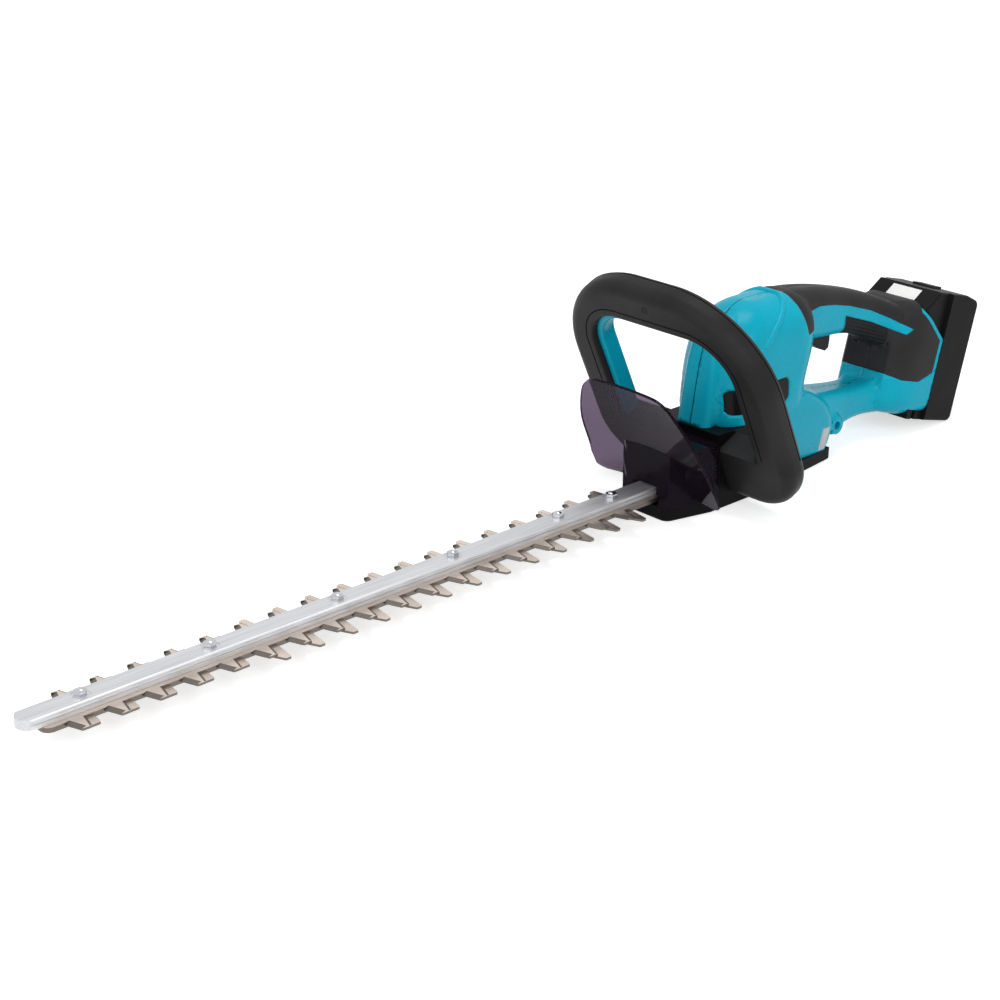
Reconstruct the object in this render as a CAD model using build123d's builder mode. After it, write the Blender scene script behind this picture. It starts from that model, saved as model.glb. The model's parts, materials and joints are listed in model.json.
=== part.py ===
from build123d import *
import os
from math import cos, pi, radians, sin

os.makedirs("parts", exist_ok=True)

# Clearances, per side
running_fit = 0.05
slide_gap = 0.3
plate_gap = 0.1

# Cutting unit, seen from above with the tip at -X
bar_reach = 552.3
bar_half_width = 9.0
bar_height = 7.0
bar_edge_radius = 1.5
bar_groove_depth = 1.2
bar_groove_height = 2.2
bar_lip_height = 2.9
bar_nose_radius = 8.8
blade_thick = 1.7
spine_half_width = 13.2
spine_tip_gap = 12.0
tooth_pitch = 28.0
tooth_count = 18
short_tooth_count = 5
first_tooth_from_tip = 25.3
tooth_stagger = 9.0
sharp_root_width = 15.0
sharp_tooth_reach = 13.5
sharp_front_lean = 0.36
sharp_rear_lean = 0.25
blunt_setback = 4.5
blunt_root_width = 16.5
blunt_tooth_reach = 19.8
blunt_front_lean = 0.45
blunt_rear_lean = 0.15
stubby_tooth_reach = 10.5
tooth_corner_radius = 1.2
front_bevel_width = 4.0
rear_bevel_width = 1.8
bevel_angle = 19.0

# Bolts along the bar
bolt_head_ground = 12.8
bolt_head_height = 2.5
bolt_head_radius = 5.5
bolt_shoulder_radius = 4.0
bolt_shank_radius = 2.5
first_bolt_from_tip = 45.3
second_bolt_from_first = 97.0
bolt_pitch = 105.0
pitched_bolts = 4
last_bolt_to_guard = 38.0
seat_bolt_inside_guard = 15.0
seat_bolt_grip = 14.0
nut_across_flats = 8.0
nut_hex_height = 3.2
nut_dome_height = 3.0
nut_dome_step = 0.3
spot_face_radius = 6.5
spot_face_depth = 0.2

# Crank drive
crank_x = 148.3
crank_throw = 7.0
crank_shaft_radius = 4.0
cam_wall = 1.0
yoke_rim = 3.4
gear_module = 1.0
gear_teeth = 52
pinion_teeth = 12
gear_width = 8.0
gear_above_bar = 10.0
tooth_backlash = 0.09
gear_dedendum = 1.25
gear_root_share = 0.31
gear_tip_share = 0.11
gear_holes = 6
gear_hole_circle = 15.6
gear_hole_radius = 3.0

# Gear case, its cover and the guard in front of it
case_front_x = 89.3
case_front_half = 22.5
case_shoulder_x = 128.3
case_half_width = 33.0
case_rear_x = 196.3
case_step_x = 132.3
case_wall = 3.5
case_front_top = 55.0
case_top = 64.0
seat_length = 22.0
cover_height = 11.0
cover_floor = 2.5
cover_wall = 2.5
cover_rear_x = 286.3
cover_rear_half = 23.0
cover_corner = 8.0
bush_radius = 7.0
crank_bearing_radius = 10.0
motor_bearing_radius = 8.0
bearing_width = 7.0
boss_wall = 3.0
guard_wall = 2.5
guard_lean = 27.3
guard_front_drop = 85.5
guard_front_height = 60.0
guard_top = 125.0
guard_bottom = 20.0
guard_dish = 6.0
guard_crown_half = 28.0
guard_flank = ((50.0, 16.0), (62.0, 50.0), (66.0, 84.0))
guard_foot_half = 57.0
guard_foot_rise = 2.5

# Screws of the case, cover and guard
screw_radius = 1.7
screw_head_radius = 3.3
screw_head_height = 2.4
screw_boss_radius = 4.6
cover_screw_reach = 8.0
front_screw_spread = 17.5
base_screw_heights = (20.0, 47.0)
base_screw_reach = 8.0
guard_screw_x = 101.3
guard_screw_z = 40.0
guard_screw_seat = 28.8
guard_screw_reach = 13.0
guard_boss_radius = 5.5

# Motor, upright over the gear case
motor_radius = 21.5
motor_height = 58.0
motor_can_wall = 1.5
motor_end_plate = 2.0
rotor_radius = 15.0
rotor_height = 40.0
rotor_lift = 9.0
rotor_slots = 7
rotor_slot_width = 2.0
rotor_slot_depth = 4.5
magnet_thick = 4.4
motor_shaft_radius = 2.5
fan_radius = 18.0
fan_height = 8.0
fan_vanes = 9
fan_vane_thick = 1.6
fan_vane_circle = 11.2
fan_vane_length = 12.6

# Clamshell housing
housing_wall = 3.0
grip_skin = 1.6
rib_thick = 3.0
rib_heights = (82.0, 108.0)
screw_reach = 9.0
screw_places = (
    (295.3, 28.0, -1), (210.3, 26.0, 1), (234.3, 140.0, 1), (344.3, 108.0, 1), (228.3, 66.0, 1))
boss_rim = 3.0
boss_reach = 23.0
grip_edging = 4.0
holder_slant_low = 72.0
holder_slant_high = 97.0
holder_slant_front = -15.0
board_front_x = 220.3
board_length = 40.0
board_half_width = 18.0
board_thick = 1.6
board_z = 40.0
badge_front_x = 149.3
badge_rear_x = 213.3
badge_low = 74.0
badge_high = 94.0
badge_corner = 5.0
badge_sink = 0.4
label_x = 269.3
label_width = 9.0
label_low = 12.5
label_high = 33.0
label_thick = 0.5
drain_x = 334.3
drain_radius = 3.6
drain_z = 38.0

# Rear trigger and its switch
trigger_pin_x = 266.3
trigger_pin_z = 113.0
trigger_pin_radius = 2.0
trigger_pin_half = 11.0
trigger_edge_radius = 1.5
trigger_boss_radius = 4.8
trigger_half_width = 6.4
trigger_length = 33.0
trigger_reach = 22.0
trigger_rise = 4.0
trigger_lift = 3.0
spring_room = 3.0
trigger_gap = 0.6
switch_length = 34.0
switch_height = 13.0
switch_half_width = 8.0
spring_radius = 2.6
spring_bore = 1.7

# Front loop handle, in its own leaning plane
handle_foot_x = 155.6
handle_lean = 24.5
handle_depth = 24.0
handle_half_width = 103.0
handle_top = 202.0
handle_corner = 84.0
loop_half_width = 72.0
loop_top = 167.6
loop_corner = 36.0
handle_seam = 17.0
handle_edge_radius = 10.0
handle_inner_radius = 3.0
handle_wall = 3.0
base_top = 57.0
base_bottom = 8.0
base_corner = 44.0
base_wall = 3.5
lever_front = 5.0
lever_rear = 20.0
lever_proud = 5.5
lever_sink = 7.0
lever_travel = 4.0
lever_switch_length = 20.0
lever_switch_height = 8.0
lever_switch_width = 7.0
lever_edge_radius = 2.0
lever_switch_near = 10.0
lever_spring_spread = 18.0
shell_screw_places = ((92.0, 72.0), (92.0, 112.0), (30.0, 189.0))
shell_screw_low = 8.0
shell_screw_high = 19.5

# Battery pack, on a rail that leans back
pack_lean = 15.0
pack_foot_x = 381.2
pack_foot_z = 14.9
pack_length = 112.0
pack_rear_drop = 4.0
pack_half_width = 37.0
pack_split = 18.7
pack_depth = 59.7
pack_front = -3.0
pack_wall = 1.8
pack_corner = 6.0
pack_edge_radius = 2.5
lip_front = -12.0
lid_half_width = 32.8
rail_depth = 3.6
rail_near = 4.0
rail_far = 8.0
rail_low = 12.0
rail_high = 66.0
cell_radius = 9.1
cell_length = 65.0
cell_rows = 2
cells_per_row = 5
cell_gap = 0.4
terminal_half_width = 13.0
terminal_low = 22.0
terminal_high = 54.0
terminal_reach = 5.0
terminal_root = 9.0
contact_near = 5.0
contact_thick = 2.0
contact_depth = 4.0
lid_hollow_half = 24.0
lid_hollow_low = 8.0
lid_hollow_high = 92.0
lid_hollow_depth = 7.0
button_half_width = 11.0
button_near = 24.0
button_far = 36.0
button_travel = 3.0
button_proud = 2.0
button_flange = 5.0
button_lip = 1.5
label_half_width = 15.0
label_length = 17.0

# Levels of the plates, stacked up from the bolt heads
lower_blade_z = bolt_head_ground + bolt_head_height + plate_gap
upper_blade_z = lower_blade_z + blade_thick + plate_gap
bar_z = upper_blade_z + blade_thick + plate_gap
bar_top = bar_z + bar_height
gear_z = bar_top + gear_above_bar
case_ceiling = case_top - case_wall
motor_base_z = case_top
motor_top_z = motor_base_z + motor_height

# Stations along the tool
guard_front_x = case_front_x - slide_gap - guard_wall
bar_tip_x = guard_front_x - bar_reach
bar_rear_x = case_front_x + seat_length
pinion_offset = gear_module * (gear_teeth + pinion_teeth) / 2
motor_x = crank_x + pinion_offset
first_bolt_x = bar_tip_x + first_bolt_from_tip
pitched_bolt_x = [first_bolt_x + second_bolt_from_first + k * bolt_pitch for k in range(pitched_bolts)]
nut_x = [first_bolt_x] + pitched_bolt_x + [guard_front_x - last_bolt_to_guard]
seat_bolt_x = guard_front_x + seat_bolt_inside_guard
bolt_x = nut_x + [seat_bolt_x]
cam_radius = crank_throw + crank_shaft_radius + cam_wall
window_half_x = cam_radius + 2 * crank_throw + slide_gap
window_half_y = cam_radius + crank_throw + slide_gap
yoke_half_x = window_half_x + yoke_rim
yoke_half_y = window_half_y + yoke_rim
blade_slot_half = spine_half_width + 2 * slide_gap

# Working planes of the leaning front handle, the guard shield and the battery rail
handle_plane = Plane(
    origin=(handle_foot_x, 0, 0), x_dir=(0, 1, 0),
    z_dir=(cos(radians(handle_lean)), 0, sin(radians(handle_lean))))
guard_foot_x = guard_front_drop + guard_front_height * sin(radians(guard_lean)) / cos(radians(guard_lean))
guard_plane = Plane(
    origin=(guard_foot_x, 0, 0), x_dir=(0, 1, 0),
    z_dir=(cos(radians(guard_lean)), 0, sin(radians(guard_lean))))
pack_normal = (cos(radians(pack_lean)), 0, -sin(radians(pack_lean)))
pack_plane = Plane(origin=(pack_foot_x, 0, pack_foot_z), x_dir=(0, 1, 0), z_dir=pack_normal)
pack_side = Plane(origin=(pack_foot_x, 0, pack_foot_z), x_dir=pack_normal, z_dir=(0, -1, 0))

base_screw_points = [handle_plane.from_local_coords((0, up, handle_seam)) for up in base_screw_heights]
base_screw_places = [(point.X, point.Z) for point in base_screw_points]
rear_screw_x = case_rear_x - case_wall - screw_head_radius
rear_screw_y = case_half_width - case_wall - screw_head_radius
cover_screw_places = [
    (x, side * y) for x, y in ((seat_bolt_x, front_screw_spread), (rear_screw_x, rear_screw_y))
    for side in (-1, 1)]


def save(builder, name):
    """Label a finished piece and write its file."""
    builder.part.label = name
    export_step(builder.part, f"parts/{name}.step")


def block(low, high, mode=Mode.ADD, plane=Plane.XY):
    """A box between two corners given on a plane."""
    centre = tuple((a + b) / 2 for a, b in zip(low, high))
    size = [b - a for a, b in zip(low, high)]
    with Locations(plane):
        with Locations(centre):
            Box(*size, mode=mode)


def rod(radius, low, high, mode=Mode.ADD, plane=Plane.XY):
    """A cylinder along a plane's normal, from its low end centre up to a height."""
    with Locations(plane):
        with Locations(low):
            Cylinder(radius, high - low[2], align=(Align.CENTER, Align.CENTER, Align.MIN), mode=mode)


def cross_rod(radius, x, z, y_low, y_high, mode=Mode.ADD):
    """A cylinder lying across the tool, along Y."""
    with Locations(Plane(origin=(x, y_low, z), z_dir=(0, 1, 0))):
        Cylinder(radius, y_high - y_low, align=(Align.CENTER, Align.CENTER, Align.MIN), mode=mode)


# Guide bar: grooved aluminium section with a rounded nose, drilled for the blade bolts
with BuildPart() as guide_bar:
    with BuildSketch(Plane.YZ.offset(bar_tip_x)):
        groove_low = bar_z + bar_lip_height
        groove_high = groove_low + bar_groove_height
        with BuildLine():
            Polyline((0, bar_z), (bar_half_width, bar_z), (bar_half_width, groove_low))
            ThreePointArc(
                (bar_half_width, groove_low),
                (bar_half_width - bar_groove_depth, (groove_low + groove_high) / 2),
                (bar_half_width, groove_high))
            Line((bar_half_width, groove_high), (bar_half_width, bar_top - bar_edge_radius))
            RadiusArc(
                (bar_half_width, bar_top - bar_edge_radius),
                (bar_half_width - bar_edge_radius, bar_top), -bar_edge_radius)
            Line((bar_half_width - bar_edge_radius, bar_top), (0, bar_top))
            mirror(about=Plane.YZ)
        make_face()
    extrude(amount=bar_rear_x - bar_tip_x)
    with BuildSketch(Plane.XY.offset(bar_z)) as bar_plan:
        with Locations(((bar_tip_x + bar_rear_x) / 2, 0)):
            Rectangle(bar_rear_x - bar_tip_x, 2 * bar_half_width)
        fillet(bar_plan.vertices().group_by(Axis.X)[0], bar_nose_radius)
    extrude(amount=bar_height, mode=Mode.INTERSECT)
    for x in bolt_x:
        rod(bolt_shank_radius + running_fit, (x, 0, bar_z), bar_top, Mode.SUBTRACT)
    for x in nut_x:
        rod(spot_face_radius, (x, 0, bar_top - spot_face_depth), bar_top, Mode.SUBTRACT)
save(guide_bar, "guide_bar")


def tooth_row(side, setback, root_width, front_lean, rear_lean, reach_of):
    """Corner points of every tooth on one side, each from its tip-side root to its rear root."""
    row = []
    row_start = bar_tip_x + first_tooth_from_tip + max(side, 0) * tooth_stagger
    for n in range(tooth_count):
        reach = reach_of(n)
        tip = side * (spine_half_width + reach)
        root = side * spine_half_width
        front = row_start + n * tooth_pitch + setback
        rear = front + root_width
        row.append((
            (front, root), (front + front_lean * reach, tip), (rear - rear_lean * reach, tip), (rear, root)))
    return row


def blade_plate(near_teeth, far_teeth, level):
    """A flat toothed blade with bolt slots and a rear window for the crank."""
    spine_front = bar_tip_x + spine_tip_gap
    yoke_front = crank_x - yoke_half_x
    yoke_rear = crank_x + yoke_half_x
    near_side = [corner for tooth in near_teeth for corner in tooth]
    far_side = [corner for tooth in far_teeth for corner in tooth]
    rear_end = [
        (yoke_front, -spine_half_width), (yoke_front, -yoke_half_y), (yoke_rear, -yoke_half_y),
        (yoke_rear, yoke_half_y), (yoke_front, yoke_half_y), (yoke_front, spine_half_width)]
    front_end = [(spine_front, spine_half_width), (spine_front, -spine_half_width)]
    with BuildSketch(Plane.XY.offset(level)) as plate:
        with BuildLine():
            Polyline(*near_side, *rear_end, *reversed(far_side), *front_end, close=True)
        make_face()
        corners = plate.vertices()
        tooth_tips = corners.filter_by(
            lambda v: v.X < yoke_front and abs(v.Y) > spine_half_width + tooth_corner_radius)
        fillet(tooth_tips, tooth_corner_radius)
        fillet(plate.vertices().group_by(Axis.X)[0], spine_half_width / 2)
        with Locations((crank_x, 0)):
            Rectangle(2 * window_half_x, 2 * window_half_y, mode=Mode.SUBTRACT)
        with Locations(*[(x, 0) for x in bolt_x]):
            SlotCenterToCenter(
                2 * crank_throw, 2 * (bolt_shoulder_radius + slide_gap), mode=Mode.SUBTRACT)
    extrude(plate.sketch, amount=blade_thick)


def bevel_planes(teeth, level):
    """Cutting planes that grind both long edges of every tooth, the front one wider."""
    planes = []
    tilt = radians(bevel_angle)
    for front_root, front_tip, rear_tip, rear_root in teeth:
        for root, tip, facing, width in (
                (front_root, front_tip, -1, front_bevel_width), (rear_root, rear_tip, 1, rear_bevel_width)):
            along = Vector(tip[0] - root[0], tip[1] - root[1], 0).normalized()
            out = along.cross(Vector(0, 0, 1))
            out = out if out.X * facing > 0 else out * -1
            middle = Vector((root[0] + tip[0]) / 2, (root[1] + tip[1]) / 2, level + blade_thick)
            normal = Vector(0, 0, cos(tilt)) + out * sin(tilt)
            planes.append(Plane(origin=middle - out * width, x_dir=along, z_dir=normal))
    return planes


def sharp_row(side):
    """The sharp teeth of one side."""
    return tooth_row(
        side, 0, sharp_root_width, sharp_front_lean, sharp_rear_lean, lambda n: sharp_tooth_reach)


# Upper blade: shorter sharp teeth, ground along both edges
with BuildPart() as upper_blade:
    blade_plate(sharp_row(-1), sharp_row(1), upper_blade_z)
    with Locations(*bevel_planes(sharp_row(-1) + sharp_row(1), upper_blade_z)):
        Box(
            sharp_tooth_reach, 3 * front_bevel_width, 2 * blade_thick,
            align=(Align.CENTER, Align.CENTER, Align.MIN), mode=Mode.SUBTRACT)
save(upper_blade, "upper_blade")


def blunt_row(side):
    """The blunt teeth of one side: the ones nearest the tip are shorter."""
    return tooth_row(
        side, blunt_setback, blunt_root_width, blunt_front_lean, blunt_rear_lean,
        lambda n: stubby_tooth_reach if n < short_tooth_count else blunt_tooth_reach)


# Lower blade: longer blunt teeth that keep twigs and fingers off the sharp ones
with BuildPart() as lower_blade:
    blade_plate(blunt_row(-1), blunt_row(1), lower_blade_z)
save(lower_blade, "lower_blade")

# Shouldered bolts that hold the blades under the bar, the last one screwed into the gear case
with BuildPart() as blade_bolts:
    for x in bolt_x:
        top = bar_top + (nut_hex_height if x in nut_x else seat_bolt_grip)
        rod(bolt_head_radius, (x, 0, bolt_head_ground), bolt_head_ground + bolt_head_height)
        rod(bolt_shoulder_radius, (x, 0, bolt_head_ground + bolt_head_height), bar_z)
        rod(bolt_shank_radius, (x, 0, bar_z), top)
save(blade_bolts, "blade_bolts")

# Domed cap nuts on the bar
with BuildPart() as cap_nuts:
    nut_seat = bar_top - spot_face_depth
    nut_top = bar_top + nut_hex_height
    dome_radius = nut_across_flats / 2 - nut_dome_step
    dome_z = nut_top + nut_dome_height - dome_radius
    for x in nut_x:
        with BuildSketch(Plane.XY.offset(nut_seat)):
            with Locations((x, 0)):
                RegularPolygon(nut_across_flats / 2, 6, major_radius=False)
        extrude(amount=nut_top - nut_seat)
        rod(dome_radius, (x, 0, nut_seat), dome_z)
        with Locations((x, 0, dome_z)):
            Sphere(dome_radius, arc_size1=0)
        rod(bolt_shank_radius + running_fit, (x, 0, nut_seat), nut_top + plate_gap, Mode.SUBTRACT)
save(cap_nuts, "cap_nuts")


def gear_outline(teeth, centre_x, first_angle):
    """A spur gear outline with straight-sided teeth, cut thin for backlash."""
    pitch_radius = gear_module * teeth / 2
    stations = (
        (pitch_radius - gear_dedendum * gear_module, gear_root_share),
        (pitch_radius, 0.25 - tooth_backlash / gear_module / pi),
        (pitch_radius + gear_module, gear_tip_share))
    points = []
    for k in range(teeth):
        middle = first_angle + 360 * k / teeth
        flanks = [(r, -share) for r, share in stations] + [(r, share) for r, share in reversed(stations)]
        for r, share in flanks:
            angle = radians(middle + share * 360 / teeth)
            points.append((centre_x + r * cos(angle), r * sin(angle)))
    with BuildLine() as outline:
        Polyline(*points, close=True)
    make_face(outline.edges())


# Crank shaft with two opposed cams under the driven gear
crank_low = cover_floor + slide_gap
crank_high = case_ceiling - slide_gap
with BuildPart() as crank_shaft:
    rod(crank_shaft_radius, (crank_x, 0, crank_low), crank_high)
save(crank_shaft, "crank_shaft")

with BuildPart() as drive_gear:
    with BuildSketch(Plane.XY.offset(gear_z)):
        gear_outline(gear_teeth, crank_x, 0)
        with Locations((crank_x, 0)):
            Circle(crank_shaft_radius, mode=Mode.SUBTRACT)
            with PolarLocations(gear_hole_circle, gear_holes):
                Circle(gear_hole_radius, mode=Mode.SUBTRACT)
    extrude(amount=gear_width)
save(drive_gear, "drive_gear")

for cam_name, cam_z, cam_side in (("upper_cam", upper_blade_z, 1), ("lower_cam", lower_blade_z, -1)):
    with BuildPart() as cam:
        rod(cam_radius, (crank_x, cam_side * crank_throw, cam_z), cam_z + blade_thick)
        rod(crank_shaft_radius, (crank_x, 0, cam_z), cam_z + blade_thick, Mode.SUBTRACT)
    save(cam, cam_name)

# Bearings of the crank and motor shafts
crank_bearing_z = case_ceiling - bearing_width
with BuildPart() as crank_bearing:
    rod(crank_bearing_radius, (crank_x, 0, crank_bearing_z), case_ceiling)
    rod(crank_shaft_radius + running_fit, (crank_x, 0, crank_bearing_z), case_ceiling, Mode.SUBTRACT)
save(crank_bearing, "crank_bearing")

bush_top = cover_height - slide_gap
with BuildPart() as crank_bush:
    rod(bush_radius, (crank_x, 0, cover_floor), bush_top)
    rod(crank_shaft_radius + running_fit, (crank_x, 0, cover_floor), bush_top, Mode.SUBTRACT)
save(crank_bush, "crank_bush")

motor_bearing_low = (case_top - bearing_width, motor_top_z - motor_end_plate - bearing_width)
with BuildPart() as motor_bearings:
    for z in motor_bearing_low:
        rod(motor_bearing_radius, (motor_x, 0, z), z + bearing_width)
        rod(motor_shaft_radius + running_fit, (motor_x, 0, z), z + bearing_width, Mode.SUBTRACT)
save(motor_bearings, "motor_bearings")


def case_plan(grow, level):
    """Plan of the gear case at a level, wider or narrower all round by grow."""
    with BuildSketch(Plane.XY.offset(level)) as plan:
        with BuildLine():
            Polyline(
                (case_front_x, case_front_half), (case_shoulder_x, case_half_width),
                (case_rear_x, case_half_width), (case_rear_x, -case_half_width),
                (case_shoulder_x, -case_half_width), (case_front_x, -case_front_half), close=True)
        make_face()
        if grow:
            offset(amount=grow, kind=Kind.INTERSECTION)
    return plan.sketch


# Gear case: open below, stepped on top, with a solid seat for the rear of the bar
with BuildPart() as gear_case:
    extrude(case_plan(0, cover_height), amount=case_top - cover_height)
    block(
        (case_front_x, -case_half_width, case_front_top),
        (case_step_x, case_half_width, case_top), Mode.SUBTRACT)
    with BuildSketch(Plane.XY.offset(cover_height)):
        add(case_plan(-case_wall, 0))
        with Locations(((case_front_x + bar_rear_x) / 2, 0)):
            Rectangle(bar_rear_x - case_front_x, 2 * case_half_width, mode=Mode.SUBTRACT)
    extrude(amount=case_front_top - case_wall - cover_height, mode=Mode.SUBTRACT)
    inner_half = case_half_width - case_wall
    block(
        (case_step_x + case_wall, -inner_half, gear_z),
        (case_rear_x - case_wall, inner_half, case_ceiling), Mode.SUBTRACT)
    rod(crank_bearing_radius + boss_wall, (crank_x, 0, crank_bearing_z), case_top)
    rod(crank_bearing_radius, (crank_x, 0, crank_bearing_z), case_ceiling, Mode.SUBTRACT)
    rod(motor_bearing_radius + boss_wall, (motor_x, 0, motor_bearing_low[0]), case_top)
    rod(motor_bearing_radius, (motor_x, 0, motor_bearing_low[0]), case_top, Mode.SUBTRACT)
    for slot_half, slot_top in ((blade_slot_half, bar_z), (bar_half_width + slide_gap, bar_top)):
        block((case_front_x, -slot_half, cover_height), (bar_rear_x, slot_half, slot_top), Mode.SUBTRACT)
    rod(bolt_shank_radius + running_fit, (seat_bolt_x, 0, bar_top), bar_top + seat_bolt_grip,
        Mode.SUBTRACT)
    for side in (-1, 1):
        low, high = sorted((side * (inner_half - boss_wall - screw_head_radius), side * inner_half))
        block(
            (rear_screw_x - screw_boss_radius, low, cover_height),
            (case_rear_x - case_wall, high, cover_height + cover_screw_reach + boss_wall))
        low, high = sorted((side * (case_half_width - base_screw_reach), side * case_half_width))
        for x, z in base_screw_places:
            cross_rod(screw_boss_radius, x, z, low, high)
            cross_rod(screw_radius, x, z, low, high, Mode.SUBTRACT)
        low, high = sorted((side * (guard_screw_seat - guard_screw_reach), side * case_half_width))
        cross_rod(screw_radius, guard_screw_x, guard_screw_z, low, high, Mode.SUBTRACT)
    for x, y in cover_screw_places:
        rod(screw_radius, (x, y, cover_height), cover_height + cover_screw_reach, Mode.SUBTRACT)
save(gear_case, "gear_case")


def cover_plan(shrink, level):
    """Plan of the under cover, from the guard back to the foot of the lower bar."""
    with BuildSketch(Plane.XY.offset(level)) as plan:
        with BuildLine():
            Polyline(
                (guard_front_x, case_front_half), (case_shoulder_x, case_half_width),
                (case_rear_x, case_half_width), (cover_rear_x, cover_rear_half),
                (cover_rear_x, -cover_rear_half), (case_rear_x, -case_half_width),
                (case_shoulder_x, -case_half_width), (guard_front_x, -case_front_half), close=True)
        make_face()
        fillet(plan.vertices().group_by(Axis.X)[0], cover_corner)
        if shrink:
            offset(amount=-shrink, kind=Kind.INTERSECTION)
    return plan.sketch


# Under cover: a shallow tray that closes the gear case and carries the crank bush
with BuildPart() as under_cover:
    extrude(cover_plan(0, 0), amount=cover_height)
    extrude(cover_plan(cover_wall, cover_floor), amount=cover_height, mode=Mode.SUBTRACT)
    rod(bush_radius + boss_wall, (crank_x, 0, 0), bush_top)
    rod(bush_radius, (crank_x, 0, cover_floor), bush_top, Mode.SUBTRACT)
    chamfer(under_cover.faces().sort_by(Axis.Z)[0].outer_wire().edges(), cover_floor / 2)
    for x, y in cover_screw_places:
        rod(screw_boss_radius, (x, y, 0), cover_height)
        rod(screw_radius, (x, y, 0), cover_height, Mode.SUBTRACT)
        rod(screw_head_radius + slide_gap, (x, y, 0), screw_head_height + slide_gap, Mode.SUBTRACT)
save(under_cover, "under_cover")

# Screws up through the cover into the gear case
with BuildPart() as cover_screws:
    for x, y in cover_screw_places:
        rod(screw_head_radius, (x, y, slide_gap), screw_head_height + slide_gap)
        rod(screw_radius, (x, y, slide_gap), cover_height + cover_screw_reach)
save(cover_screws, "cover_screws")


def guard_half_outline():
    """Right half of the shield's outline in its leaning plane."""
    crown = (guard_crown_half, guard_top)
    flank = [(half, guard_top - drop) for half, drop in guard_flank]
    foot = (guard_foot_half, guard_bottom + guard_foot_rise)
    Line((0, guard_top), crown)
    Spline(crown, *flank, foot, tangents=[(1, 0), (-1, -0.25)])
    Line(foot, (0, guard_bottom))
    mirror(about=Plane.YZ)


# Blade guard: a dished shield on a hood that fits over the nose of the gear case
with BuildPart() as shield:
    with BuildSketch(Plane(
            origin=guard_plane.origin, x_dir=(0, 1, 0), z_dir=guard_plane.y_dir)):
        with BuildLine():
            ThreePointArc((-case_half_width * 2, guard_dish), (0, 0), (case_half_width * 2, guard_dish))
            Line((case_half_width * 2, guard_dish), (case_half_width * 2, guard_dish - guard_wall))
            ThreePointArc(
                (case_half_width * 2, guard_dish - guard_wall), (0, -guard_wall),
                (-case_half_width * 2, guard_dish - guard_wall))
            Line((-case_half_width * 2, guard_dish - guard_wall), (-case_half_width * 2, guard_dish))
        make_face()
    extrude(amount=guard_top)
    with BuildSketch(guard_plane):
        with BuildLine():
            guard_half_outline()
        make_face()
    extrude(amount=guard_top / 2, both=True, mode=Mode.INTERSECT)

hood_low = cover_height + slide_gap
hood_high = case_front_top + slide_gap + guard_wall
with BuildPart() as blade_guard:
    extrude(case_plan(slide_gap + guard_wall, hood_low), amount=hood_high - hood_low)
    block(
        (case_step_x - slide_gap, -2 * case_half_width, 0),
        (cover_rear_x, 2 * case_half_width, case_top), Mode.SUBTRACT)
    add(shield.part)
    guard_boss_end = guard_screw_seat + screw_head_height
    cross_rod(guard_boss_radius, guard_screw_x, guard_screw_z, -guard_boss_end, guard_boss_end)
    extrude(case_plan(slide_gap, 0), amount=hood_high - guard_wall, mode=Mode.SUBTRACT)
    cross_rod(screw_radius, guard_screw_x, guard_screw_z, -guard_boss_end, guard_boss_end, Mode.SUBTRACT)
    for side in (-1, 1):
        low, high = sorted((side * guard_screw_seat, side * 2 * guard_boss_end))
        cross_rod(screw_head_radius + slide_gap, guard_screw_x, guard_screw_z, low, high, Mode.SUBTRACT)
    block(
        (guard_front_x - guard_wall, -blade_slot_half, 0),
        (case_front_x, blade_slot_half, bar_top + 4 * slide_gap), Mode.SUBTRACT)
save(blade_guard, "blade_guard")


def side_screw(x, z, seat, reach, side):
    """A screw lying along Y, with its head outside its seat and its shank reaching inwards."""
    low, high = sorted((side * seat, side * (seat + screw_head_height)))
    cross_rod(screw_head_radius, x, z, low, high)
    low, high = sorted((side * (seat - reach), side * seat))
    cross_rod(screw_radius, x, z, low, high)


# Screws through the guard's side bosses, and through the handle brackets, into the gear case
with BuildPart() as guard_screws:
    for side in (-1, 1):
        side_screw(guard_screw_x, guard_screw_z, guard_screw_seat, guard_screw_reach, side)
save(guard_screws, "guard_screws")

with BuildPart() as base_screws:
    for side in (-1, 1):
        for x, z in base_screw_places:
            side_screw(x, z, case_half_width + base_wall, base_wall + base_screw_reach, side)
save(base_screws, "base_screws")

# Motor: can, magnets, rotor, shaft, pinion and cooling fan
with BuildPart() as motor_can:
    rod(motor_radius, (motor_x, 0, motor_base_z), motor_top_z)
    rod(motor_radius - motor_can_wall, (motor_x, 0, motor_base_z + motor_end_plate),
        motor_top_z - motor_end_plate, Mode.SUBTRACT)
    rod(motor_bearing_radius + boss_wall, (motor_x, 0, motor_bearing_low[1]), motor_top_z)
    rod(motor_bearing_radius, (motor_x, 0, motor_bearing_low[1]), motor_top_z - motor_end_plate,
        Mode.SUBTRACT)
    rod(motor_shaft_radius + 3 * slide_gap, (motor_x, 0, motor_base_z), motor_top_z, Mode.SUBTRACT)
save(motor_can, "motor_can")

rotor_z = motor_base_z + rotor_lift
with BuildPart() as stator_magnets:
    rod(motor_radius - motor_can_wall, (motor_x, 0, rotor_z), rotor_z + rotor_height)
    rod(motor_radius - motor_can_wall - magnet_thick, (motor_x, 0, rotor_z), rotor_z + rotor_height,
        Mode.SUBTRACT)
save(stator_magnets, "stator_magnets")

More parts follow.
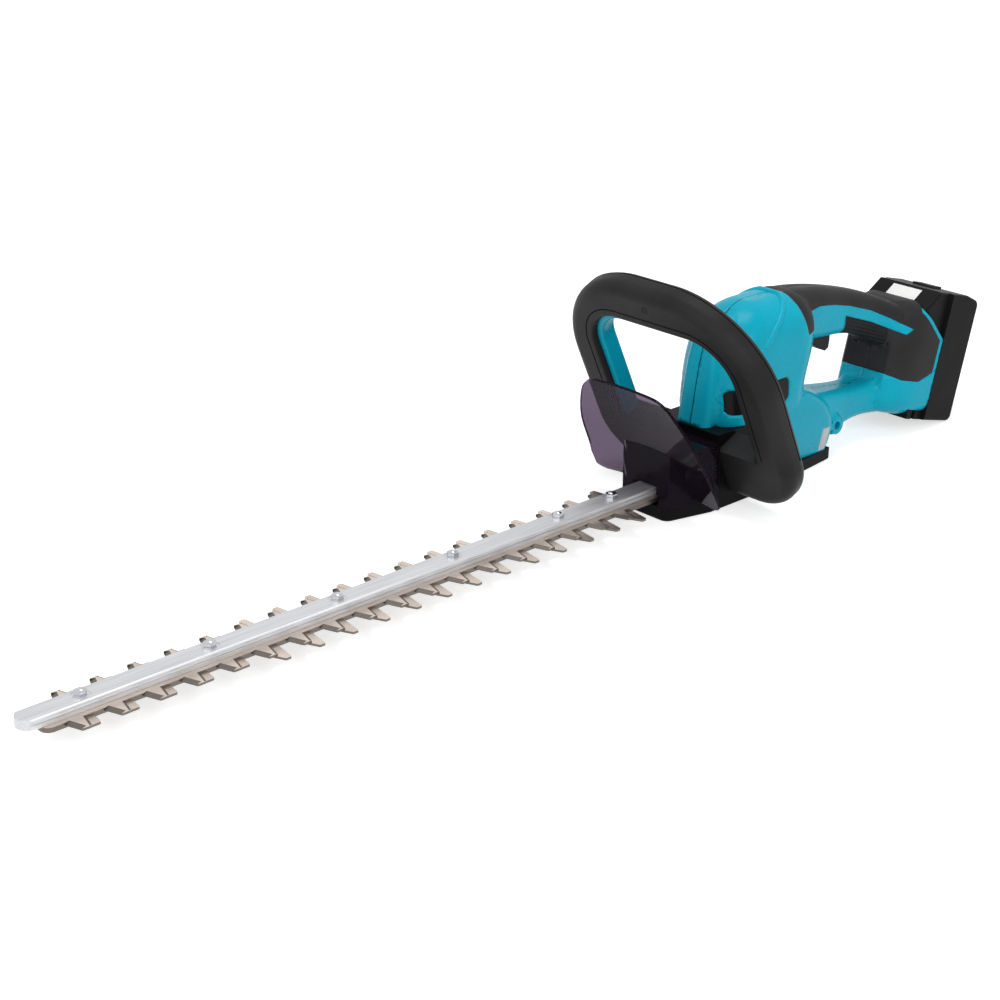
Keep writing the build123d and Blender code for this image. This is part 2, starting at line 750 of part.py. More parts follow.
with BuildPart() as rotor_core:
    rod(rotor_radius, (motor_x, 0, rotor_z), rotor_z + rotor_height)
    rod(motor_shaft_radius, (motor_x, 0, rotor_z), rotor_z + rotor_height, Mode.SUBTRACT)
    with Locations((motor_x, 0, rotor_z + rotor_height / 2)):
        with PolarLocations(rotor_radius, rotor_slots):
            Box(2 * rotor_slot_depth, rotor_slot_width, rotor_height, mode=Mode.SUBTRACT)
save(rotor_core, "rotor_core")

fan_z = motor_top_z + 3 * slide_gap
with BuildPart() as motor_shaft:
    rod(motor_shaft_radius, (motor_x, 0, gear_z - 3 * slide_gap), fan_z + fan_height)
save(motor_shaft, "motor_shaft")

with BuildPart() as pinion:
    with BuildSketch(Plane.XY.offset(gear_z)):
        gear_outline(pinion_teeth, motor_x, 180 + 180 / pinion_teeth)
        with Locations((motor_x, 0)):
            Circle(motor_shaft_radius, mode=Mode.SUBTRACT)
    extrude(amount=gear_width)
save(pinion, "pinion")

with BuildPart() as cooling_fan:
    rod(fan_radius, (motor_x, 0, fan_z), fan_z + fan_vane_thick)
    with Locations((motor_x, 0, fan_z + fan_height / 2)):
        with PolarLocations(fan_vane_circle, fan_vanes):
            Box(fan_vane_length, fan_vane_thick, fan_height)
    rod(motor_shaft_radius + boss_wall, (motor_x, 0, fan_z), fan_z + fan_height)
    rod(motor_shaft_radius, (motor_x, 0, fan_z), fan_z + fan_height, Mode.SUBTRACT)
save(cooling_fan, "cooling_fan")


def plan_at(level, front, rear, half_width, corner):
    """A rounded plan at a height, for a form that grows upwards."""
    return Plane.XY.offset(level), (front, rear), (-half_width, half_width), corner


def cross_at(x, low, high, half_width, corner):
    """A rounded upright section at a station along the tool."""
    return Plane.YZ.offset(x), (-half_width, half_width), (low, high), corner


def rail_at(rearward, low, high, half_width, corner):
    """A rounded section square to the battery rail's normal."""
    return pack_plane.offset(rearward), (-half_width, half_width), (low, high), corner


# Outer forms of the housing, each with the way its sections shift when a cavity is cut in it
bar_start_x = cover_rear_x - 38
bar_end_x = pack_foot_x - 11
grip_start_x = motor_x + 43
grip_end_x = pack_foot_x - 9


def along_bar(share):
    """A station between the two ends of the lower bar."""
    return bar_start_x + share * (bar_end_x - bar_start_x)


def along_grip(share):
    """A station between the two ends of the rear handle."""
    return grip_start_x + share * (grip_end_x - grip_start_x)


belly_front_x = case_rear_x + slide_gap
front_ridge = [
    plan_at(case_top, motor_x - 45, motor_x + 8, 17, 7),
    plan_at(case_top + 36, motor_x - 38.5, motor_x + 8, 16.5, 7),
    plan_at(case_top + 64, motor_x - 31.5, motor_x + 10, 15.5, 7),
    plan_at(case_top + 82, motor_x - 22, motor_x + 14, 13, 6)]
motor_tower = [
    plan_at(case_top, motor_x - 35, motor_x + 70, case_half_width - 0.5, 24),
    plan_at(case_top + 36, motor_x - 33, motor_x + 74, case_half_width + 1, 25),
    plan_at(case_top + 60, motor_x - 27, motor_x + 79, case_half_width, 25),
    plan_at(case_top + 76, motor_x - 17, motor_x + 77, case_half_width - 4.5, 23),
    plan_at(case_top + 86, motor_x - 4, motor_x + 70, case_half_width - 13, 17),
    plan_at(case_top + 91, motor_x + 10, motor_x + 58, case_half_width - 24, 8)]
belly = [
    plan_at(cover_height, belly_front_x, cover_rear_x - 1, cover_rear_half + 1, 10),
    plan_at(cover_height + 29, belly_front_x, cover_rear_x, cover_rear_half + 7, 14),
    plan_at(case_top + 8, belly_front_x, cover_rear_x - 35, case_half_width, 16)]
lower_bar = [
    cross_at(along_bar(0), 12, 72, 25, 9), cross_at(along_bar(0.29), 13, 58, 20, 9),
    cross_at(along_bar(0.53), 21, 53.5, 17.5, 9), cross_at(along_bar(0.78), 23, 51, 18, 9),
    cross_at(along_bar(1), 22, 62, 27, 10)]
rear_grip = [
    cross_at(along_grip(0), trigger_pin_z - 1, trigger_pin_z + 41.8, 22, 16),
    cross_at(along_grip(0.25), trigger_pin_z - 5, trigger_pin_z + 39, 17, 12),
    cross_at(along_grip(0.4), trigger_pin_z - 9, trigger_pin_z + 35, 15.5, 12),
    cross_at(along_grip(0.6), trigger_pin_z - 12, trigger_pin_z + 27.5, 15, 12),
    cross_at(along_grip(0.8), trigger_pin_z - 22, trigger_pin_z + 18, 16.5, 12),
    cross_at(along_grip(1), trigger_pin_z - 37, trigger_pin_z + 4, 26, 12)]
pack_holder = [
    rail_at(-36, 4, 95, 22, 14), rail_at(-22, 2, 101, lid_half_width - 1, 16),
    rail_at(-4, 2, 101, lid_half_width + 2.7, 15),
    rail_at(pack_split - plate_gap, 5, 96, pack_half_width - 0.5, 12)]
housing_forms = (
    (front_ridge, -1), (motor_tower, -1), (belly, -1), (lower_bar, 0), (rear_grip, 0), (pack_holder, 1))


def housing_body(inset, forms=housing_forms):
    """The outer form of the housing, shrunk all round by an inset."""
    for stations, shift in forms:
        faces = []
        for plane, (x_low, x_high), (y_low, y_high), corner in stations:
            with BuildSketch(plane.offset(shift * inset)) as station:
                with Locations(((x_low + x_high) / 2, (y_low + y_high) / 2)):
                    RectangleRounded(
                        x_high - x_low - 2 * inset, y_high - y_low - 2 * inset, corner - inset)
            faces.append(station.sketch)
        loft(faces)


# Cavity inside the clamshell, left full where ribs, bosses and pads stand
rib_reach = 2 * case_half_width
pocket_front = pack_front - slide_gap
switch_low = trigger_pin_z + trigger_rise + trigger_lift + spring_room
switch_high = switch_low + switch_height
switch_rear_x = trigger_pin_x + switch_length
boss_half_gap = trigger_half_width + trigger_gap
with BuildPart() as cavity:
    housing_body(housing_wall)
    for z in rib_heights:
        block(
            (case_front_x, -rib_reach, z), (motor_x + motor_radius + rib_thick, rib_reach, z + rib_thick),
            Mode.SUBTRACT)
    rod(motor_radius + slide_gap, (motor_x, 0, case_top), motor_top_z, Mode.ADD)
    for x, z, _ in screw_places:
        cross_rod(screw_boss_radius, x, z, -rib_reach, rib_reach, Mode.SUBTRACT)
    for side in (-1, 1):
        inner, outer = sorted((side * boss_half_gap, side * rib_reach))
        cross_rod(trigger_boss_radius, trigger_pin_x, trigger_pin_z, inner, outer, Mode.SUBTRACT)
        inner, outer = sorted((side * switch_half_width, side * rib_reach))
        block(
            (trigger_pin_x + rib_thick, inner, switch_low + rib_thick),
            (switch_rear_x - rib_thick, outer, switch_high - rib_thick), Mode.SUBTRACT)
    for x in (board_front_x, board_front_x + board_length - rib_thick):
        block((x, -rib_reach, board_z - rib_thick), (x + rib_thick, rib_reach, board_z), Mode.SUBTRACT)
    block(
        (-rib_reach, -rib_reach, pocket_front - housing_wall), (rib_reach, 2 * pack_length, rib_reach),
        Mode.SUBTRACT, pack_plane)

with BuildPart() as core:
    housing_body(grip_skin)


def slant_height(rearward, lift=0):
    """Height along the rail of the holder's slanted upper edge."""
    share = (pack_split - rearward) / (pack_split - holder_slant_front)
    return holder_slant_low + share * (holder_slant_high - holder_slant_low) + lift


def holder_trim(edging):
    """Outline behind the holder's slanted upper edge, moved in by an edging width."""
    rear = pack_split - edging
    with BuildSketch(pack_side) as trim:
        with BuildLine():
            Polyline(
                (rear, -pack_length), (rear, slant_height(rear, -edging)),
                (holder_slant_front, slant_height(holder_slant_front, -edging)),
                (holder_slant_front, 2 * pack_length), (2 * pack_depth, 2 * pack_length),
                (2 * pack_depth, -pack_length), close=True)
        make_face()
    return trim.sketch


# Outer form of the housing with the screw boss on the lower bar and the slanted battery holder
boss_x, boss_z, _ = screw_places[0]
with BuildPart() as envelope:
    housing_body(0)
    cross_rod(screw_boss_radius + boss_rim, boss_x, boss_z, -boss_reach, boss_reach)
    extrude(holder_trim(plate_gap), amount=rib_reach, both=True, mode=Mode.SUBTRACT)

# Soft grip zones in side view, as places behind the rail foot and above the trigger pin
grip_top = 60
top_zone = [
    (-154, grip_top), (-151, 39), (-144, 10), (-130.2, 11), (-125, 21.8), (-110, 23), (-90, 19.6),
    (-70, 14.5), (-42, 5), (-20.3, -5.5), (-1, -17), (-7.2, -21), (-21.5, -14), (-21.5, -38),
    (-43, -38), (-43, -46), (-38, -47), (-13, -60), (7, -65), (29, -60), (60, -60), (60, grip_top)]
insert_zone = [(-74.3, 6.8), (-41, -5), (-21.5, -14), (-21.5, -38), (-74.3, -38)]


def grip_skin_part(zone):
    """Skin of the housing inside a side-view zone."""
    with BuildSketch(Plane.XZ) as outline:
        with BuildLine():
            Polyline(*[(pack_foot_x + x, trigger_pin_z + z) for x, z in zone], close=True)
        make_face()
    add(envelope.part)
    extrude(outline.sketch, amount=rib_reach, both=True, mode=Mode.INTERSECT)
    extrude(holder_trim(grip_edging), amount=rib_reach, both=True, mode=Mode.SUBTRACT)
    add(core.part, mode=Mode.SUBTRACT)


with BuildPart() as top_skin:
    grip_skin_part(top_zone)
with BuildPart() as insert_skin:
    grip_skin_part(insert_zone)


def screw_access(places):
    """Bore for each housing screw's head, from its seat out through the side."""
    for x, z, side in places:
        low, high = sorted((side * screw_reach, side * rib_reach))
        cross_rod(screw_head_radius + slide_gap, x, z, low, high, Mode.SUBTRACT)


# Bare plates set flush into recesses of the housing
tower_forms = housing_forms[:2]
belly_forms = housing_forms[2:4]


def badge_zone(grow):
    """Side view of a badge plate, wider all round by grow."""
    with BuildSketch(Plane.XZ) as zone:
        with Locations(((badge_front_x + badge_rear_x) / 2, (badge_low + badge_high) / 2)):
            RectangleRounded(
                badge_rear_x - badge_front_x + 2 * grow, badge_high - badge_low + 2 * grow,
                badge_corner + grow)
    return zone.sketch


with BuildPart() as badge_recess:
    add(envelope.part)
    extrude(badge_zone(slide_gap), amount=rib_reach, both=True, mode=Mode.INTERSECT)
    add(core.part, mode=Mode.SUBTRACT)
with BuildPart() as badges:
    housing_body(badge_sink, tower_forms)
    extrude(badge_zone(0), amount=rib_reach, both=True, mode=Mode.INTERSECT)
    add(core.part, mode=Mode.SUBTRACT)
with BuildPart() as label_bed:
    housing_body(label_thick, belly_forms)
with BuildPart() as rating_plate:
    add(envelope.part)
    block(
        (label_x, -rib_reach, label_low), (label_x + label_width, 0, label_high), Mode.INTERSECT)
    add(label_bed.part, mode=Mode.SUBTRACT)
save(rating_plate, "rating_plate")

# Clamshell: hollowed, cut for the trigger, terminals and battery, then split along the middle
pocket_half = lid_half_width + slide_gap
slot_rear_x = trigger_pin_x + trigger_length + 6 * trigger_gap
with BuildPart() as housing:
    add(envelope.part)
    add(cavity.part, mode=Mode.SUBTRACT)
    for inlay in (top_skin, insert_skin, badge_recess, rating_plate):
        add(inlay.part, mode=Mode.SUBTRACT)
    block(
        (trigger_pin_x - trigger_boss_radius, -boss_half_gap, trigger_pin_z - 2 * trigger_reach),
        (slot_rear_x, boss_half_gap, trigger_pin_z + trigger_rise + trigger_lift), Mode.SUBTRACT)
    cross_rod(
        trigger_pin_radius, trigger_pin_x, trigger_pin_z, -trigger_pin_half, trigger_pin_half,
        Mode.SUBTRACT)
    block(
        (-pocket_half, -pack_length, pocket_front), (pocket_half, 2 * pack_length, pack_depth),
        Mode.SUBTRACT, pack_plane)
    block(
        (-terminal_half_width, terminal_low, pocket_front - housing_wall),
        (terminal_half_width, terminal_high, pocket_front), Mode.SUBTRACT, pack_plane)
    for side in (-1, 1):
        low, high = sorted((side * (pocket_half - rail_depth), side * (pocket_half + plate_gap)))
        block((low, rail_low, rail_near), (high, rail_high, rail_far), Mode.ADD, pack_plane)
    rod(drain_radius, (drain_x, 0, drain_z), case_top, Mode.SUBTRACT)
    screw_access(screw_places)
    for x, z, side in screw_places:
        cross_rod(screw_radius, x, z, -screw_reach, screw_reach, Mode.SUBTRACT)

for source, left_name, right_name in (
        (housing, "housing_left", "housing_right"), (badges, "badge_left", "badge_right")):
    for name, keep in ((left_name, Keep.TOP), (right_name, Keep.BOTTOM)):
        with BuildPart() as half:
            add(source.part)
            split(bisect_by=Plane.XZ, keep=keep)
        save(half, name)

# Soft skins over the rear handle and battery holder, and the ribbed pad under the handle
for name, keep in (("grip_left", Keep.TOP), ("grip_right", Keep.BOTTOM)):
    with BuildPart() as half:
        add(top_skin.part)
        screw_access(screw_places)
        split(bisect_by=Plane.XZ, keep=keep)
    save(half, name)

with BuildPart() as grip_insert:
    add(insert_skin.part)
save(grip_insert, "grip_insert")

with BuildPart() as housing_screws:
    for x, z, side in screw_places:
        side_screw(x, z, screw_reach, 2 * screw_reach, side)
save(housing_screws, "housing_screws")

# Rear trigger, hung on a pin, with its switch and return spring above
with BuildPart() as trigger:
    with BuildSketch(Plane.XZ):
        with BuildLine():
            Polyline(*[
                (trigger_pin_x + x, trigger_pin_z + z) for x, z in (
                    (-2, -5), (6, -10.5), (18, 3.5 - trigger_reach), (28, 1 - trigger_reach - 2),
                    (trigger_length - 1, 1 - trigger_reach), (trigger_length, -14),
                    (trigger_length, trigger_rise - 1), (0, trigger_rise))], close=True)
        make_face()
    extrude(amount=trigger_half_width, both=True)
    lower_edges = trigger.edges().filter_by(
        lambda e: abs(e.center().Y) > trigger_half_width - plate_gap and e.center().Z < trigger_pin_z - 4)
    fillet(lower_edges, trigger_edge_radius)
    cross_rod(
        trigger_pin_radius + running_fit, trigger_pin_x, trigger_pin_z,
        -trigger_half_width, trigger_half_width, Mode.SUBTRACT)
save(trigger, "trigger")

with BuildPart() as trigger_pin:
    cross_rod(trigger_pin_radius, trigger_pin_x, trigger_pin_z, -trigger_pin_half, trigger_pin_half)
save(trigger_pin, "trigger_pin")

with BuildPart() as trigger_switch:
    block(
        (trigger_pin_x, -switch_half_width, switch_low), (switch_rear_x, switch_half_width, switch_high))
save(trigger_switch, "trigger_switch")

with BuildPart() as trigger_spring:
    spring_x = trigger_pin_x + 0.7 * trigger_length
    rod(spring_radius, (spring_x, 0, switch_low - spring_room), switch_low)
    rod(spring_bore, (spring_x, 0, switch_low - spring_room), switch_low, Mode.SUBTRACT)
save(trigger_spring, "trigger_spring")

# Terminals behind the battery and the control board in the belly
with BuildPart() as terminal_block:
    block(
        (-terminal_half_width, terminal_low, pocket_front - housing_wall),
        (terminal_half_width, terminal_high, terminal_reach), Mode.ADD, pack_plane)
    block(
        (
            -terminal_half_width - rib_thick, terminal_low - rib_thick,
            pocket_front - housing_wall - terminal_root),
        (terminal_half_width + rib_thick, terminal_high + rib_thick, pocket_front - housing_wall),
        Mode.ADD, pack_plane)
save(terminal_block, "terminal_block")

with BuildPart() as control_board:
    block(
        (board_front_x, -board_half_width, board_z),
        (board_front_x + board_length, board_half_width, board_z + board_thick))
    for y in (-0.5 * board_half_width, 0.5 * board_half_width):
        rod(0.3 * board_half_width, (board_front_x + board_length / 2, y, board_z), board_z + 7 * board_thick)
save(control_board, "control_board")


def arch(plane, half_width, top, corner, foot):
    """An upright arch with rounded upper corners, standing on a foot line of a plane."""
    with BuildSketch(plane) as shape:
        with Locations((0, (foot + top) / 2)):
            Rectangle(2 * half_width, top - foot)
        fillet(shape.vertices().filter_by(lambda v: plane.to_local_coords(v).Y > (foot + top) / 2), corner)
    return shape.sketch


def loop_body(builder, inset):
    """The front loop in its leaning plane, with its outer edges rounded, shrunk by an inset."""
    plane = handle_plane.offset(inset)
    depth = handle_depth - 2 * inset
    extrude(
        arch(plane, handle_half_width - inset, handle_top - inset, handle_corner - inset, base_top - inset),
        amount=depth)
    rim = builder.edges().filter_by(
        lambda e: abs(plane.to_local_coords(e.center()).Z - depth / 2) > depth / 2 - plate_gap
        and plane.to_local_coords(e.center()).Y > base_top)
    fillet(rim, handle_edge_radius - inset)
    extrude(
        arch(plane, loop_half_width + inset, loop_top + inset, loop_corner + inset, base_top - 2 * inset),
        amount=depth, mode=Mode.SUBTRACT)


# Front loop handle: two shells that meet at a seam, hollow, with a channel for the switch lever
channel_depth = lever_sink + lever_travel + 3 * slide_gap
lever_top = loop_top + lever_sink
spring_low = lever_top + lever_travel + slide_gap
spring_seat = handle_top - handle_wall - plate_gap
shell_bosses = [(side * x, y) for x, y in shell_screw_places for side in (-1, 1)]
with BuildPart() as loop_void:
    loop_body(loop_void, handle_wall)
with BuildPart() as loop:
    loop_body(loop, 0)
    inner_rim = loop.edges(Select.LAST).filter_by(
        lambda e: abs(handle_plane.to_local_coords(e.center()).Z - handle_depth / 2)
        > handle_depth / 2 - plate_gap and handle_plane.to_local_coords(e.center()).Y > base_top + plate_gap)
    fillet(inner_rim, handle_inner_radius)
    add(loop_void.part, mode=Mode.SUBTRACT)
    extrude(
        arch(
            handle_plane.offset(lever_front), loop_half_width + channel_depth, loop_top + channel_depth,
            loop_corner + channel_depth, base_top - handle_wall),
        amount=lever_rear - lever_front, mode=Mode.SUBTRACT)
    for x, y in shell_bosses:
        rod(screw_boss_radius, (x, y, handle_wall), handle_depth - handle_wall, Mode.ADD, handle_plane)
        rod(screw_radius, (x, y, shell_screw_low), shell_screw_high, Mode.SUBTRACT, handle_plane)
        rod(
            screw_head_radius + slide_gap, (x, y, shell_screw_high), handle_depth, Mode.SUBTRACT,
            handle_plane)
    block(
        (-lever_switch_length / 2, spring_low, lever_switch_near + lever_switch_width),
        (lever_switch_length / 2, handle_top - handle_wall, handle_depth - handle_wall),
        Mode.ADD, handle_plane)

for name, keep in (("handle_front_shell", Keep.BOTTOM), ("handle_rear_shell", Keep.TOP)):
    with BuildPart() as shell:
        add(loop.part)
        split(bisect_by=handle_plane.offset(handle_seam), keep=keep)
    save(shell, name)

with BuildPart() as handle_screws:
    for x, y in shell_bosses:
        rod(screw_radius, (x, y, shell_screw_low), shell_screw_high, Mode.ADD, handle_plane)
        rod(
            screw_head_radius, (x, y, shell_screw_high), shell_screw_high + screw_head_height,
            Mode.ADD, handle_plane)
save(handle_screws, "handle_screws")

# Brackets that carry the loop on both sides of the gear case, hollow from behind
for name, side in (("handle_base_left", -1), ("handle_base_right", 1)):
    with BuildPart() as bracket:
        with BuildSketch(handle_plane) as outline:
            with Locations((side * (case_half_width + handle_half_width) / 2, (base_bottom + base_top) / 2)):
                Rectangle(handle_half_width - case_half_width, base_top - base_bottom)
            outer_low = outline.vertices().sort_by(Axis.X)[::side][-2:].sort_by(Axis.Y)[0]
            fillet(outer_low, base_corner)
        extrude(amount=handle_depth)
        rim = bracket.edges().filter_by(
            lambda e: abs(handle_plane.to_local_coords(e.center()).Z - handle_depth / 2)
            > handle_depth / 2 - plate_gap
            and abs(e.center().Y) > case_half_width + plate_gap
            and handle_plane.to_local_coords(e.center()).Y < base_top - plate_gap)
        fillet(rim, handle_edge_radius)
        low, high = sorted((side * (case_half_width + base_wall), side * (handle_half_width - base_wall)))
        with BuildSketch(handle_plane.offset(base_wall)) as hollow:
            with Locations(((low + high) / 2, (base_bottom + base_top) / 2)):
                Rectangle(high - low, base_top - base_bottom - 2 * base_wall)
            outer_low = hollow.vertices().sort_by(Axis.X)[::side][-2:].sort_by(Axis.Y)[0]
            fillet(outer_low, base_corner - base_wall)
        extrude(amount=handle_depth, mode=Mode.SUBTRACT)
        low, high = sorted((side * case_half_width, side * (case_half_width + base_wall)))
        for x, z in base_screw_places:
            cross_rod(screw_radius, x, z, low, high, Mode.SUBTRACT)
    save(bracket, name)

# Switch lever lining the inside of the loop, pushed up by the second hand
with BuildPart() as front_lever:
    lever_plane = handle_plane.offset(lever_front + slide_gap)
    lever_depth = lever_rear - lever_front - 2 * slide_gap
    lever_foot = base_top + slide_gap
    extrude(
        arch(
            lever_plane, loop_half_width + lever_sink, lever_top, loop_corner + lever_sink, lever_foot),
        amount=lever_depth)
    extrude(
        arch(
            lever_plane, loop_half_width - lever_proud, loop_top - lever_proud,
            loop_corner - lever_proud, lever_foot - lever_sink),
        amount=lever_depth, mode=Mode.SUBTRACT)
    inner_rim = front_lever.edges(Select.LAST).filter_by(
        lambda e: abs(lever_plane.to_local_coords(e.center()).Z - lever_depth / 2)
        > lever_depth / 2 - plate_gap and lever_plane.to_local_coords(e.center()).Y > lever_foot + plate_gap)
    fillet(inner_rim, lever_edge_radius)
save(front_lever, "front_lever")

with BuildPart() as lever_switch:
    block(
        (-lever_switch_length / 2, spring_low, lever_switch_near),
        (lever_switch_length / 2, spring_low + lever_switch_height, lever_switch_near + lever_switch_width),
        Mode.ADD, handle_plane)
save(lever_switch, "lever_switch")

spring_plane = Plane(
    origin=handle_plane.offset((lever_front + lever_rear) / 2).origin,
    x_dir=(0, 1, 0), z_dir=handle_plane.y_dir)
with BuildPart() as lever_springs:
    for y in (-lever_spring_spread, lever_spring_spread):
        rod(spring_radius, (y, 0, spring_low), spring_seat, Mode.ADD, spring_plane)
        rod(spring_bore, (y, 0, spring_low), spring_seat, Mode.SUBTRACT, spring_plane)
save(lever_springs, "lever_springs")


def pack_outline(inset):
    """Side view of the battery case, with rounded rear corners, shrunk by an inset."""
    with BuildSketch(pack_side) as outline:
        with BuildLine():
            Polyline(
                (pack_split, 0), (pack_split, pack_length), (button_far + pack_corner, pack_length),
                (pack_depth, pack_length - pack_rear_drop), (pack_depth, 0), close=True)
        make_face()
        rear = outline.vertices().filter_by(
            lambda v: pack_side.to_local_coords(v).X > pack_depth - plate_gap)
        fillet(rear, pack_corner)
        if inset:
            offset(amount=-inset)
    return outline.sketch


# Battery case with its button hole and the shelf that carries the button's spring
shelf_top = cells_per_row * (2 * cell_radius + cell_gap) + 2 * pack_wall + 2 * slide_gap
flange_top = pack_length - pack_wall - slide_gap
with BuildPart() as battery_case:
    extrude(pack_outline(0), amount=pack_half_width, both=True)
    side_edges = battery_case.edges().filter_by(
        lambda e: abs(e.center().Y) > pack_half_width - plate_gap
        and pack_side.to_local_coords(e.center()).X > pack_split + plate_gap)
    fillet(side_edges, pack_edge_radius)
    extrude(pack_outline(pack_wall), amount=pack_half_width - pack_wall, both=True, mode=Mode.SUBTRACT)
    block(
        (-pack_half_width + pack_wall, shelf_top - pack_wall, pack_split + pack_wall),
        (pack_half_width - pack_wall, shelf_top, button_far + pack_corner), Mode.ADD, pack_plane)
    block(
        (-lid_hollow_half, lid_hollow_low, pack_split),
        (lid_hollow_half, lid_hollow_high, pack_split + pack_wall), Mode.SUBTRACT, pack_plane)
    block(
        (-button_half_width - slide_gap, flange_top, button_near - slide_gap),
        (button_half_width + slide_gap, 2 * pack_length, button_far + slide_gap), Mode.SUBTRACT, pack_plane)
save(battery_case, "battery_case")

# Battery lid that slides on the rails, with a chamfer for its label
lip_low = slant_height(pack_front, slide_gap * 3)
lip_high = slant_height(lip_front, slide_gap * 3)
chamfer_rear = lip_front + pack_length - lip_high
with BuildPart() as battery_lid:
    with BuildSketch(pack_side):
        with BuildLine():
            Polyline(
                (pack_front, 0), (pack_front, lip_low), (lip_front, lip_high),
                (chamfer_rear, pack_length), (pack_split, pack_length), (pack_split, 0), close=True)
        make_face()
    extrude(amount=lid_half_width, both=True)
    chamfer_edges = battery_lid.edges().filter_by(
        lambda e: abs(e.center().Y) > lid_half_width - plate_gap
        and pack_side.to_local_coords(e.center()).X < pack_split - plate_gap
        and pack_side.to_local_coords(e.center()).Y > lip_low + plate_gap)
    fillet(chamfer_edges, pack_edge_radius)
    block(
        (-lid_hollow_half, lid_hollow_low, pack_split - lid_hollow_depth),
        (lid_hollow_half, lid_hollow_high, pack_split), Mode.SUBTRACT, pack_plane)
    block(
        (-terminal_half_width - slide_gap, -plate_gap, pack_front),
        (terminal_half_width + slide_gap, terminal_high + slide_gap, terminal_reach + slide_gap),
        Mode.SUBTRACT, pack_plane)
    for side in (-1, 1):
        low, high = sorted((side * (pocket_half - rail_depth - slide_gap), side * pocket_half))
        block(
            (low, -plate_gap, rail_near - slide_gap), (high, rail_high + slide_gap, rail_far + slide_gap),
            Mode.SUBTRACT, pack_plane)
        low, high = sorted((side * contact_near, side * (contact_near + contact_thick)))
        block(
            (low, terminal_low, terminal_reach + slide_gap),
            (high, terminal_high, terminal_reach + slide_gap + contact_depth), Mode.SUBTRACT, pack_plane)
    label_face = Plane(
        origin=pack_side.from_local_coords(((lip_front + chamfer_rear) / 2, (lip_high + pack_length) / 2, 0)),
        x_dir=(0, 1, 0), z_dir=pack_plane.y_dir - pack_plane.z_dir)
    block(
        (-label_half_width, -label_length / 2, -label_thick), (label_half_width, label_length / 2, 0),
        Mode.SUBTRACT, label_face)
save(battery_lid, "battery_lid")

with BuildPart() as battery_label:
    block(
        (-label_half_width, -label_length / 2, -label_thick), (label_half_width, label_length / 2, 0),
        Mode.ADD, label_face)
save(battery_label, "battery_label")

with BuildPart() as battery_contacts:
    for side in (-1, 1):
        low, high = sorted((side * contact_near, side * (contact_near + contact_thick)))
        block(
            (low, terminal_low, terminal_reach + slide_gap),
            (high, terminal_high, terminal_reach + slide_gap + contact_depth), Mode.ADD, pack_plane)
save(battery_contacts, "battery_contacts")

# Cells lying across the pack in two rows
with BuildPart() as battery_cells:
    for row in range(cell_rows):
        for k in range(cells_per_row):
            across = pack_depth - pack_wall - slide_gap - cell_radius - row * (2 * cell_radius + cell_gap)
            along = pack_wall + slide_gap + cell_radius + k * (2 * cell_radius + cell_gap)
            rod(
                cell_radius, (across, along, -cell_length / 2), cell_length / 2, Mode.ADD, pack_side)
save(battery_cells, "battery_cells")

# Release button on top of the pack, held by a flange under the case
with BuildPart() as battery_button:
    block(
        (-button_half_width, flange_top - button_flange, button_near),
        (button_half_width, pack_length + button_proud, button_far), Mode.ADD, pack_plane)
    block(
        (-button_half_width - button_lip, flange_top - button_flange, button_near - button_lip),
        (button_half_width + button_lip, flange_top, button_far + button_lip), Mode.ADD, pack_plane)
save(battery_button, "battery_button")

rail_plane = Plane(
    origin=pack_plane.offset((button_near + button_far) / 2).origin, x_dir=(0, 1, 0), z_dir=pack_plane.y_dir)
with BuildPart() as button_spring:
    spring_end = flange_top - button_flange - button_travel - slide_gap
    rod(spring_radius, (0, 0, shelf_top), spring_end, Mode.ADD, rail_plane)
    rod(spring_bore, (0, 0, shelf_top), spring_end, Mode.SUBTRACT, rail_plane)
save(button_spring, "button_spring")
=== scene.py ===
import json
from math import cos, radians, sin, tau

import bmesh
import bpy
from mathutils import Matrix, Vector
from mathutils.bvhtree import BVHTree


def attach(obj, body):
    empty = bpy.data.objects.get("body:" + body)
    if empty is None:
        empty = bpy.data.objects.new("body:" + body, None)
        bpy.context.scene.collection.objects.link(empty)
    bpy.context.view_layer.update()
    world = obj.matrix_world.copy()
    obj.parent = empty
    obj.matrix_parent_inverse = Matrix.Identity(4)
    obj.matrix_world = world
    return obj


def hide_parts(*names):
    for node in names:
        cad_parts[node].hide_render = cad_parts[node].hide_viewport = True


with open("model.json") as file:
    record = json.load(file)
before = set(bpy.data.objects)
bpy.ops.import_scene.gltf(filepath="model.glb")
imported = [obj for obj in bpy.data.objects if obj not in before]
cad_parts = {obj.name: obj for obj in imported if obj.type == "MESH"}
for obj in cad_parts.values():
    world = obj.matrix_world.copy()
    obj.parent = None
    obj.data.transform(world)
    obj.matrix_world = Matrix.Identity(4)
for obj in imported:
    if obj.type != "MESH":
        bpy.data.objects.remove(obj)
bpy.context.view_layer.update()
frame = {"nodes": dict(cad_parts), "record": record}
nodes = frame["nodes"]

MM = 0.001
FORWARD = Vector((-1, 0, 0))
ACROSS = Vector((0, 1, 0))
UP = Vector((0, 0, 1))
WHITE = (1, 1, 1, 1)
WELD = 0.001 * MM
SHARP_ANGLE = radians(36)


# Scene helpers

def linked(name, data):
    """A new object in the scene."""
    item = bpy.data.objects.new(name, data)
    bpy.context.collection.objects.link(item)
    return item


def mesh_from(bm, name, smooth=False):
    """A new mesh from a bmesh, which is freed."""
    for face in bm.faces:
        face.smooth = smooth
    mesh = bpy.data.meshes.new(name)
    bm.to_mesh(mesh)
    bm.free()
    return mesh


# Node helpers

MIX_FACTOR, MIX_FROM, MIX_TO, MIX_RESULT = 0, 6, 7, 2  # sockets of a node that mixes colours


